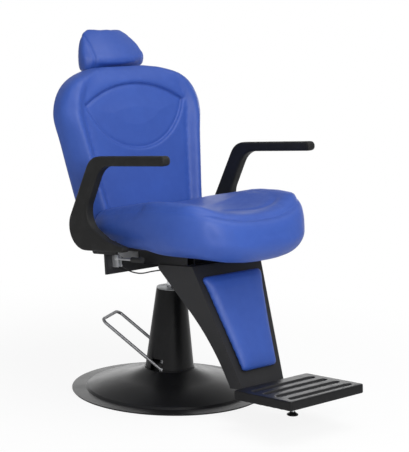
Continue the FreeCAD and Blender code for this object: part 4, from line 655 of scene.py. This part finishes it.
def stitch_tree(length, pitch, radius):
    """Geometry nodes that sew short rounded stitches along a line."""
    tree = bpy.data.node_groups.new("stitches", "GeometryNodeTree")
    face = tree.interface
    face.new_socket("Line", in_out="INPUT", socket_type="NodeSocketGeometry")
    for name, value in (("Pitch", pitch), ("Length", length), ("Radius", radius)):
        socket = face.new_socket(name, in_out="INPUT", socket_type="NodeSocketFloat")
        socket.default_value = value
    face.new_socket("Stitches", in_out="OUTPUT", socket_type="NodeSocketGeometry")
    nodes = Nodes(tree)
    line = nodes.node("NodeGroupInput", output="Line")
    radius = line.other("Radius")
    stitches = nodes.node("GeometryNodeInstanceOnPoints", {
        "Points": nodes.node("GeometryNodeResampleCurve", {
            "Curve": line, "Length": line.other("Pitch")}, mode="LENGTH"),
        "Instance": nodes.node("GeometryNodeMeshUVSphere", {"Segments": 6, "Rings": 4, "Radius": 1.0}),
        "Rotation": nodes.node("FunctionNodeAlignRotationToVector", {
            "Vector": nodes.node("GeometryNodeInputTangent")}, axis="Z"),
        "Scale": nodes.node("ShaderNodeCombineXYZ", {
            "X": radius, "Y": radius, "Z": line.other("Length") * 0.5})})
    real = nodes.node("GeometryNodeRealizeInstances", {"Geometry": stitches})
    smooth = nodes.node("GeometryNodeSetShadeSmooth", {"Geometry": real})
    painted = nodes.node("GeometryNodeSetMaterial", {
        "Geometry": smooth, "Material": FINISHES["thread"]})
    nodes.node("NodeGroupOutput", {"Stitches": painted})
    return tree


def curve_of(name, lines):
    """A curve object whose straight pieces run through the lines' points."""
    data = bpy.data.curves.new(name, "CURVE")
    data.dimensions = "3D"
    for line in lines:
        spline = data.splines.new("POLY")
        spline.points.add(len(line) - 1)
        spline.points.foreach_set("co", np.hstack([line, np.ones((len(line), 1))]).ravel())
    return linked(name, data)


# The lines that stitches follow, by body; how far from a seam they run, and how high on the cover
SEAMS = {}
STITCH_OFFSET = 0.0062
THREAD_LIFT = 0.0002
# The step between the points of a sewn line, and the mesh size of the smaller cushions
SEAM_STEP = 0.003
FINE_CELL = 0.004


def stitch_beside(body, tree, line, offset):
    """Keeps a line of stitches on a body's skin, shifted sideways from a seam."""
    moved = []
    count = len(line)
    for index in range(count):
        here = Vector(line[index])
        ahead = Vector(line[min(index + 1, count - 1)]) - Vector(line[max(index - 1, 0)])
        spot, normal, _, _ = tree.find_nearest(here)
        side = ahead.cross(normal).normalized() * offset
        spot, normal, _, _ = tree.find_nearest(here + side)
        moved.append(spot + normal * THREAD_LIFT)
    SEAMS.setdefault(body, []).append(np.array(moved))


class CHAIR_OT_finishes(bpy.types.Operator):
    """Makes the materials and paints every piece that keeps its CAD shape"""

    bl_idname = "chair.finishes"
    bl_label = "Paint the frame"

    def execute(self, context):
        make_finishes()
        for part in frame["record"]["subparts"]:
            obj = frame["nodes"][part["node"]]
            material = FINISHES[part["material_slot"]]
            obj.data.materials.clear()
            obj.data.materials.append(material)
            for slot in obj.material_slots:
                slot.material = material
        return {"FINISHED"}


# The seat cushion, in metres in the seat's own frame: its middle, how far the cover is drawn in,
# the height below which it is held, how far the padding may swell, and its two seams
SEAT_CENTRE = (0.0, -0.150)
SEAT_DRAWN_IN = 0.0015
SEAT_HELD_HEIGHT = 0.079
CUSHION_SWELL = 0.007
RIM_DROP = 0.019
RIM_REACH = 0.021
RIM_PUFF = 0.0012
INNER_INSET = 0.030
INNER_DEPTH = 0.0045
INNER_WIDTH = 0.014
# The crest round the seat's dish: how far round and in what steps it is followed, in degrees, and
# the radius that it stays outside
CREST_TURN = 124
CREST_STEP = 3.0
DISH_RADIUS = 0.13
# The angles from the front between which the seat's seams fade, and the share that stays
SEAM_FADE = (math.radians(62), math.radians(32))
SEAM_LEAST = 0.15


def seat_turn(points):
    """The angle of each seat point round the seat's middle, nought at the front."""
    return np.arctan2(points[:, 0] - SEAT_CENTRE[0], SEAT_CENTRE[1] - points[:, 1])


def seat_crest(obj):
    """The crest round the seat's dish: angles, distances from its middle, and heights."""
    points = local(points_of(obj), SEAT)
    angle = seat_turn(points)
    spread = np.hypot(points[:, 0] - SEAT_CENTRE[0], points[:, 1] - SEAT_CENTRE[1])
    stations = np.radians(np.arange(-CREST_TURN, CREST_TURN + 1, CREST_STEP))
    found = []
    for station in stations:
        near = (np.abs(angle - station) < math.radians(CREST_STEP)) & (spread > DISH_RADIUS)
        top = points[near, 2].argmax()
        found.append((spread[near][top], points[near, 2][top]))
    found = eased_line(np.array(found), 8)
    return stations, found[:, 0], found[:, 1]


def seat_line(obj, drop=0.0, inset=0.0):
    """A line round the seat, a drop down its outer side or inset into its dish."""
    tree = tree_of(obj)
    axes = SEAT.to_3x3()
    line = []
    for station, spread, top in zip(*seat_crest(obj)):
        way = Vector((math.sin(station), -math.cos(station), 0))
        middle = Vector((*SEAT_CENTRE, 0))
        if inset:
            start = middle + way * (spread - inset) + Vector((0, 0, top + 0.05))
            fall = Vector((0, 0, -1))
        else:
            start = middle + way * 0.5 + Vector((0, 0, top - drop))
            fall = -way
        hit = tree.ray_cast(SEAT @ start, axes @ fall, 0.6)[0]
        if hit is not None:
            line.append(hit)
    return eased_line(resampled(line, 0.004), 10)


class CHAIR_OT_seat_cushion(bpy.types.Operator):
    """Makes the seat cushion, with its dished top and the seam under its front roll"""

    bl_idname = "chair.seat_cushion"
    bl_label = "Seat cushion"

    def execute(self, context):
        cloth = settings()[0]
        obj = remeshed("seat_cushion", "seat_upholstery", cloth.voxel, 3)
        points = points_of(obj)
        place = local(points, SEAT)
        inward = SEAT_DRAWN_IN * ramp(place[:, 2], 0.078, 0.098)
        move_points(obj, points - normals_of(obj) * inward[:, None])
        swollen(obj, cloth.pressure, CUSHION_SWELL, place[:, 2] < SEAT_HELD_HEIGHT)
        eased(obj, 2, 1)
        rim = seat_line(obj, drop=RIM_DROP)
        inner = seat_line(obj, inset=INNER_INSET)
        turn = np.abs(seat_turn(local(points_of(obj), SEAT)))
        fade = np.maximum(ramp(turn, *SEAM_FADE), SEAM_LEAST)
        pressed(obj, [inner], INNER_DEPTH, INNER_WIDTH, fade)
        pressed(obj, [rim], cloth.seam_depth * 1.5, cloth.seam_width * 2, fade, RIM_PUFF, RIM_REACH)
        stitch_beside("seat", tree_of(obj), rim, STITCH_OFFSET)
        dressed(smooth_faces(obj), "seat_cushion", "seat", "blue_vinyl")
        return {"FINISHED"}


# The leaf-shaped panel: half its width, the height of its tips, its rise above and drop below them
LEAF_TIP = 0.193
LEAF_LEVEL = 0.415
LEAF_RISE = 0.057
LEAF_DROP = 0.138
LEAF_POINTS = 120
LEAF_SEAM_DEPTH = 0.0030
LEAF_SEAM_WIDTH = 0.0050
# The padding that rolls round the panel: its height, its rise from the edge and its tail, each with
# what is added above the tips; and the panel's sunken edge, its depth and its crown
ROLL_HEIGHT = (0.0098, 0.0016)
ROLL_RISE = (0.011, 0.004)
ROLL_TAIL = (0.034, 0.012)
PANEL_EDGE_DEPTH = 0.0030
PANEL_EDGE_WIDTH = 0.007
PANEL_SINK = 0.0034
PANEL_CROWN = 0.0042
# The back cushion in its own frame: the depth that parts its front from its rear, how far its cover
# is drawn in, how much the crown and the sides are filled out, and the rolls along the sides
BACK_FRONT_DEPTH = 0.046
BACK_DRAWN_IN = 0.0012
CROWN_LIFT = 0.005
SIDE_WIDENING = 0.004
SIDE_ROLL_HEIGHT = 0.0078
SIDE_ROLL_INSET = 0.042
SIDE_ROLL_WIDTH = 0.019
# How much the side channels are evened out low down, and in how many rounds
CHANNEL_EASE = 0.22
CHANNEL_ROUNDS = 90


def leaf_arcs():
    """The radius, the centre's height and the side of the leaf panel's upper and lower edges."""
    for height, side in ((LEAF_RISE, 1), (LEAF_DROP, -1)):
        radius = (LEAF_TIP ** 2 + height ** 2) / (2 * height)
        yield radius, LEAF_LEVEL + side * (height - radius), side


def leaf_lines():
    """Both edges of the leaf panel, flat in the backrest's own frame."""
    for radius, centre, side in leaf_arcs():
        half = math.asin(LEAF_TIP / radius)
        turns = np.linspace(-half, half, LEAF_POINTS)
        lift = np.cos(turns) * radius * side
        yield np.stack([np.sin(turns) * radius, np.zeros(LEAF_POINTS), centre + lift], axis=1)


def leaf_gap(points):
    """How far a point of the back lies outside the leaf panel, below zero inside it."""
    return np.maximum(*[np.hypot(points[:, 0], points[:, 2] - centre) - radius
                        for radius, centre, side in leaf_arcs()])


class CHAIR_OT_back_cushion(bpy.types.Operator):
    """Makes the back cushion, with its side rolls and its leaf-shaped panel"""

    bl_idname = "chair.back_cushion"
    bl_label = "Back cushion"

    def execute(self, context):
        cloth = settings()[0]
        obj = remeshed("back_cushion", "back_upholstery", cloth.voxel, 3)
        points = points_of(obj)
        place = local(points, BACK)
        front = place[:, 1] < BACK_FRONT_DEPTH
        move_points(obj, points - normals_of(obj) * (BACK_DRAWN_IN * front)[:, None])
        swollen(obj, cloth.pressure, CUSHION_SWELL, ~front)
        eased(obj, 2, 1)
        self.smoothed_crown(obj)
        self.roll_round_panel(obj)
        tree = tree_of(obj)
        forward = BACK.to_3x3() @ Vector((0, 1, 0))
        leaf = [np.array(laid_on(tree, world(line, BACK), forward)) for line in leaf_lines()]
        leaf = [eased_line(resampled(line, SEAM_STEP), 6) for line in leaf]
        pressed(obj, leaf, LEAF_SEAM_DEPTH, LEAF_SEAM_WIDTH)
        tree = tree_of(obj)
        stitch_beside("back", tree, leaf[0], -STITCH_OFFSET)
        stitch_beside("back", tree, leaf[1], STITCH_OFFSET)
        dressed(smooth_faces(obj), "back_cushion", "back", "blue_vinyl")
        return {"FINISHED"}

    def smoothed_crown(self, obj):
        """Softens the side channels, lets them run out below the top, and fills the edges out."""
        points = points_of(obj)
        across, depth, height = local(points, BACK).T
        inside = ramp(self.side_gap(across, height), 0.018, 0.038)
        share = CHANNEL_EASE + (1 - CHANNEL_EASE) * ramp(height, 0.425, 0.470)
        share *= ramp(depth, 0.026, 0.014) * inside
        points = points + share[:, None] * (calmed(obj, points, CHANNEL_ROUNDS) - points)
        upward = CROWN_LIFT * ramp(height, 0.44, 0.53)
        sideways = SIDE_WIDENING * np.sign(across) * ramp(np.abs(across), 0.15, 0.20)
        fuller = np.stack([sideways, np.zeros(len(points)), upward], axis=1)
        move_points(obj, points + fuller @ np.array(BACK.to_3x3()).T)

    def side_gap(self, across, height):
        """How far each point lies inside the back's side edge at its own height."""
        levels = np.arange(0.0, 0.56, 0.01)
        edge = [np.abs(across[np.abs(height - level) < 0.01]).max(initial=0.0) for level in levels]
        return np.interp(height, levels, edge) - np.abs(across)

    def roll_round_panel(self, obj):
        """Lets the padding roll over into the panel's edge, and keeps the panel itself low."""
        points = points_of(obj)
        place = local(points, BACK)
        across, depth, height = place.T
        gap = leaf_gap(place)
        above = np.clip((height - LEAF_LEVEL) / 0.05, -1, 1)
        full, rise, tail = (size + more * above for size, more in (ROLL_HEIGHT, ROLL_RISE, ROLL_TAIL))
        away = np.maximum(gap, 0)
        shift = full * (1 - np.exp(-away / rise)) * np.exp(-away / tail)
        shift -= PANEL_EDGE_DEPTH * np.exp(-(gap / PANEL_EDGE_WIDTH) ** 2)
        shift += PANEL_CROWN * ramp(gap, 0, -0.07) ** 2 - PANEL_SINK * ramp(gap, 0, -0.010)
        off_crest = (self.side_gap(across, height) - SIDE_ROLL_INSET) / SIDE_ROLL_WIDTH
        roll = SIDE_ROLL_HEIGHT * np.exp(-off_crest ** 2) * ramp(height, 0.50, 0.41)
        shift = (shift * ramp(np.abs(across), 0.235, 0.205) + roll) * ramp(depth, 0.030, 0.010)
        way = np.array(BACK.to_3x3() @ Vector((0, -1, 0)))
        move_points(obj, points + shift[:, None] * way[None, :])


# The head cushion, in metres: how far its padding may swell, the seams at its ends, the near one
# deeper than the far one, and how its underside hangs and its far end is drawn in
HEAD_SWELL = 0.006
HEAD_SEAM_INSET = 0.031
HEAD_SEAM_DEPTH = 0.0013
HEAD_SEAM_WIDTH = 0.0042
HEAD_SEAM_PUFF = 0.0004
HEAD_SEAM_REACH = 0.012
NEAR_SHARE = 1.5
FAR_SHARE = 0.35
HEAD_STITCH_OFFSET = 0.0058
HEAD_SAG = 0.0035
HEAD_HANG = 0.018
FAR_TOP_DROP = 0.010
FAR_END_LIFT = 0.011


class CHAIR_OT_headrest(bpy.types.Operator):
    """Makes the head cushion, with its sewn end panels"""

    bl_idname = "chair.headrest"
    bl_label = "Head cushion"

    def execute(self, context):
        cloth = settings()[0]
        obj = remeshed("headrest_cushion", "headrest_upholstery", FINE_CELL, 3)
        low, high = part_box("headrest_cushion")
        depth = local(points_of(obj), BACK)[:, 1]
        swollen(obj, cloth.pressure, HEAD_SWELL, depth > np.percentile(depth, 90))
        self.tucked(obj, low, high)
        eased(obj, 5, 1)
        lines = []
        for side in (-1, 1):
            at = Vector(((high.x - HEAD_SEAM_INSET) * side, 0, 0))
            loops = sections(obj, at, Vector((1, 0, 0)))
            lines += [eased_line(resampled(loop, SEAM_STEP, True), 4, True) for loop in loops]
        share = np.where(points_of(obj)[:, 0] < 0, NEAR_SHARE, FAR_SHARE)
        pressed(obj, lines, HEAD_SEAM_DEPTH, HEAD_SEAM_WIDTH, share, HEAD_SEAM_PUFF, HEAD_SEAM_REACH)
        tree = tree_of(obj)
        for line in lines:
            offset = math.copysign(HEAD_STITCH_OFFSET, line[0][0] * turning(line))
            stitch_beside("headrest", tree, np.vstack([line, line[:1]]), offset)
        dressed(smooth_faces(obj), "headrest_cushion", "headrest", "blue_vinyl")
        return {"FINISHED"}

    def tucked(self, obj, low, high):
        """Lets the head cushion's underside hang down behind the top of the back."""
        points = points_of(obj)
        across, depth, height = points.T
        behind = ramp(depth, 0.264, 0.286)
        behind = behind * behind * (3 - 2 * behind)
        height -= (HEAD_SAG + HEAD_HANG * behind) * ramp(height, low.z + 0.030, low.z + 0.008)
        far = ramp(across, 0, 0.11) ** 1.5
        height -= FAR_TOP_DROP * far * ramp(height, high.z - 0.07, high.z - 0.01)
        height += FAR_END_LIFT * ramp(across, 0.06, 0.11) * ramp(height, low.z + 0.036, low.z + 0.002)
        move_points(obj, points)


# The leg pad, in metres: how far its padding may swell, and the depth at its back that is held
LEG_SWELL = 0.004
LEG_HELD = 0.003


class CHAIR_OT_leg_pad(bpy.types.Operator):
    """Makes the padded panel on the leg rest"""

    bl_idname = "chair.leg_pad"
    bl_label = "Leg pad"

    def execute(self, context):
        cloth = settings()[0]
        obj = remeshed("leg_pad", "leg_upholstery", FINE_CELL, 2)
        depth = local(points_of(obj), LEG)[:, 1]
        swollen(obj, cloth.pressure, LEG_SWELL, depth > depth.max() - LEG_HELD, 12)
        eased(obj, 2, 1)
        dressed(smooth_faces(obj), "leg_pad", "seat", "blue_vinyl")
        return {"FINISHED"}


class CHAIR_OT_mouldings(bpy.types.Operator):
    """Makes the two arms and the footrest's tread with their soft moulded edges"""

    bl_idname = "chair.mouldings"
    bl_label = "Moulded pieces"

    def execute(self, context):
        for node, name, cell, rounds, material in (
                ("arm_left", "arm_moulding_left", 0.003, 7, "arm_plastic"),
                ("arm_right", "arm_moulding_right", 0.003, 7, "arm_plastic"),
                ("foot_plate", "foot_tread", 0.002, 6, "foot_paint")):
            dressed(smooth_faces(remeshed(node, name, cell, rounds)), node, "seat", material)
        return {"FINISHED"}


# The release cable: its route in the seat's own frame, its length and its thickness
CABLE_ROUTE = ((0.026, -0.092, -0.015), (-0.012, -0.090, -0.016), (-0.056, -0.083, -0.013),
               (-0.098, -0.074, -0.009), (-0.138, -0.065, -0.009), (-0.172, -0.056, -0.013),
               (-0.204, -0.050, -0.005), (-0.226, -0.045, 0.009), (-0.236, -0.043, 0.018))
CABLE_THICKNESS = 0.004


class CHAIR_OT_release_cable(bpy.types.Operator):
    """Makes the thin release cable that sags under the seat"""

    bl_idname = "chair.release_cable"
    bl_label = "Release cable"

    def execute(self, context):
        points = [SEAT @ Vector(point) for point in CABLE_ROUTE]
        data = bpy.data.curves.new("release_cable_sheath", "CURVE")
        data.dimensions = "3D"
        spline = data.splines.new("NURBS")
        spline.points.add(len(points) - 1)
        for target, point in zip(spline.points, points):
            target.co = (*point, 1)
        spline.order_u = 3
        spline.use_endpoint_u = True
        spline.resolution_u = 12
        data.bevel_depth = CABLE_THICKNESS / 2
        data.bevel_resolution = 4
        obj = dressed(linked("release_cable_sheath", data), "release_cable", "seat", "rubber_black")
        return {"FINISHED"}


class CHAIR_OT_stitches(bpy.types.Operator):
    """Sews the seams, one plain mesh of stitches for each moving body"""

    bl_idname = "chair.stitches"
    bl_label = "Stitches"

    def execute(self, context):
        cloth = settings()[0]
        tree = stitch_tree(cloth.stitch, cloth.pitch, cloth.thread_radius)
        for body, lines in sorted(SEAMS.items()):
            curve = curve_of("stitches_" + body, [resampled(line, 0.002) for line in lines])
            curve.modifiers.new("stitches", "NODES").node_group = tree
            graph = bpy.context.evaluated_depsgraph_get()
            mesh = bpy.data.meshes.new_from_object(curve.evaluated_get(graph))
            bpy.data.objects.remove(curve)
            if not mesh.polygons:
                raise RuntimeError("no stitches on " + body)
            mesh.materials.clear()
            mesh.materials.append(FINISHES["thread"])
            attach(linked("stitches_on_" + body, mesh), body)
        return {"FINISHED"}


# The soft lamps: name, place, the point they face, and width and height
LAMPS = (("left", (-3.1, -0.4, 1.7), (0, -0.1, 0.45), (1.8, 1.8)),
         ("front", (-1.4, -3.2, 1.9), (0, -0.1, 0.45), (1.5, 1.5)),
         ("top", (0.4, -1.3, 3.0), (0, -0.1, 0.45), (2.0, 2.0)),
         ("rear", (2.7, 2.9, 0.72), (0, 0, 0.3), (4.8, 1.35)))

# The photograph's camera: its place, and its turn, pitch and roll in degrees
CAMERA_PLACE = (-3.379, -3.686, 1.41692)
CAMERA_TURN = -43.625
CAMERA_PITCH = 10.243
CAMERA_ROLL = 1.428
SENSOR_WIDTH = 36.0

# The floor disc, and the distances between which it passes into the backdrop
FLOOR_RADIUS = 12.0
FLOOR_FADE = (0.5, 1.6)
FLOOR_LIFT = 0.87


class CHAIR_OT_stage(bpy.types.Operator):
    """Sets the pale floor, the soft lamps and the camera"""

    bl_idname = "chair.stage"
    bl_label = "Stage"

    def execute(self, context):
        stage = settings()[2]
        self.floor(stage)
        self.sky(context.scene, stage)
        for name, place, aim, size in LAMPS:
            self.lamp("lamp_" + name, place, Vector(aim), size, getattr(stage, name + "_lamp"))
        self.camera(context.scene, stage)
        context.scene.view_settings.view_transform = "Standard"
        return {"FINISHED"}

    def floor(self, stage):
        """A wide disc of floor that passes into the white backdrop."""
        shape = bmesh.new()
        bmesh.ops.create_circle(shape, cap_ends=True, radius=FLOOR_RADIUS, segments=96)
        mesh = bpy.data.meshes.new("floor")
        shape.to_mesh(mesh)
        shape.free()
        f = Finish("floor")
        fade = f.between(f.length(f.place), *FLOOR_FADE)
        speck = f.clouds(60.0, 3.0)
        tone = f.mixed(speck * 0.1, tuple(stage.floor), shaded(stage.floor, 0.97))
        plain = f.node("ShaderNodeBsdfPrincipled", {
            "Base Color": tone, "Roughness": 0.75, "Specular IOR Level": 0.15})
        white = f.node("ShaderNodeEmission", {"Color": (1, 1, 1, 1), "Strength": 1.0})
        seen = f.node("ShaderNodeLightPath", output="Is Camera Ray")
        share = fade * seen + (1 - fade) * seen * FLOOR_LIFT
        mix = f.node("ShaderNodeMixShader", {0: share.clamped(), 1: plain, 2: white})
        f.node("ShaderNodeOutputMaterial", {"Surface": mix})
        mesh.materials.append(f.material)
        linked("floor", mesh)

    def sky(self, scene, stage):
        """Even light all round, seen as white by the camera and in gloss."""
        world = bpy.data.worlds.new("studio")
        world.use_nodes = True
        nodes = Nodes(world.node_tree)
        camera = nodes.node("ShaderNodeLightPath", output="Is Camera Ray")
        seen = camera.most(camera.other("Is Transmission Ray"))
        share = seen.most(camera.other("Is Glossy Ray") * stage.gloss)
        strength = nodes.node("ShaderNodeMapRange", {0: share, 3: stage.sky, 4: 1.0})
        light = nodes.node("ShaderNodeBackground", {"Color": (1, 1, 1, 1), "Strength": strength})
        nodes.node("ShaderNodeOutputWorld", {"Surface": light})
        scene.world = world

    def lamp(self, name, place, aim, size, power):
        """A broad soft lamp, which only lights and isn't seen."""
        data = bpy.data.lights.new(name, "AREA")
        data.shape = "RECTANGLE"
        data.size, data.size_y = size
        data.energy = power
        obj = linked(name, data)
        obj.location = place
        obj.rotation_euler = (aim - Vector(place)).to_track_quat("-Z", "Y").to_euler()
        obj.visible_camera = False

    def camera(self, scene, stage):
        """The camera where the photograph was taken from."""
        turn, pitch, roll = map(math.radians, (CAMERA_TURN, CAMERA_PITCH, CAMERA_ROLL))
        right = Vector((math.cos(turn), math.sin(turn), 0))
        level = Vector((math.sin(turn), -math.cos(turn), 0))
        back = level * math.cos(pitch) + Vector((0, 0, math.sin(pitch)))
        up = back.cross(right)
        across = right * math.cos(roll) + up * math.sin(roll)
        upright = up * math.cos(roll) - right * math.sin(roll)
        data = bpy.data.cameras.new("camera")
        data.lens = stage.lens
        data.sensor_width = SENSOR_WIDTH
        obj = linked("camera", data)
        pose = Matrix((across, upright, back)).transposed().to_4x4()
        pose.translation = CAMERA_PLACE
        obj.matrix_world = pose
        scene.camera = obj


STEPS = (CHAIR_OT_finishes, CHAIR_OT_seat_cushion, CHAIR_OT_back_cushion, CHAIR_OT_headrest,
         CHAIR_OT_leg_pad, CHAIR_OT_mouldings, CHAIR_OT_release_cable, CHAIR_OT_stitches,
         CHAIR_OT_stage)
GROUPS = (UpholsterySettings, MetalSettings, StageSettings)


class CHAIR_PT_panel(bpy.types.Panel):
    """The chair's settings and steps"""

    bl_idname = "CHAIR_PT_panel"
    bl_label = "Barber Chair"
    bl_space_type = "VIEW_3D"
    bl_region_type = "UI"
    bl_category = "Barber Chair"

    def draw(self, context):
        for title, group in zip(("Upholstery", "Metal and plastic", "Stage"), settings()):
            box = self.layout.box()
            box.label(text=title)
            for name in group.__annotations__:
                box.prop(group, name)
        for step in STEPS:
            self.layout.operator(step.bl_idname)


def register():
    for kind in (*GROUPS, *STEPS, CHAIR_PT_panel):
        bpy.utils.register_class(kind)
    bpy.types.Scene.chair_upholstery = PointerProperty(type=UpholsterySettings)
    bpy.types.Scene.chair_metal = PointerProperty(type=MetalSettings)
    bpy.types.Scene.chair_stage = PointerProperty(type=StageSettings)


def unregister():
    del bpy.types.Scene.chair_stage
    del bpy.types.Scene.chair_metal
    del bpy.types.Scene.chair_upholstery
    for kind in reversed((*GROUPS, *STEPS, CHAIR_PT_panel)):
        bpy.utils.unregister_class(kind)


def main():
    """Registers the add-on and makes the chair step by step."""
    register()
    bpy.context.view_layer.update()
    for step in STEPS:
        getattr(bpy.ops.chair, step.bl_idname.split(".")[1])()


if __name__ == "__main__":
    main()
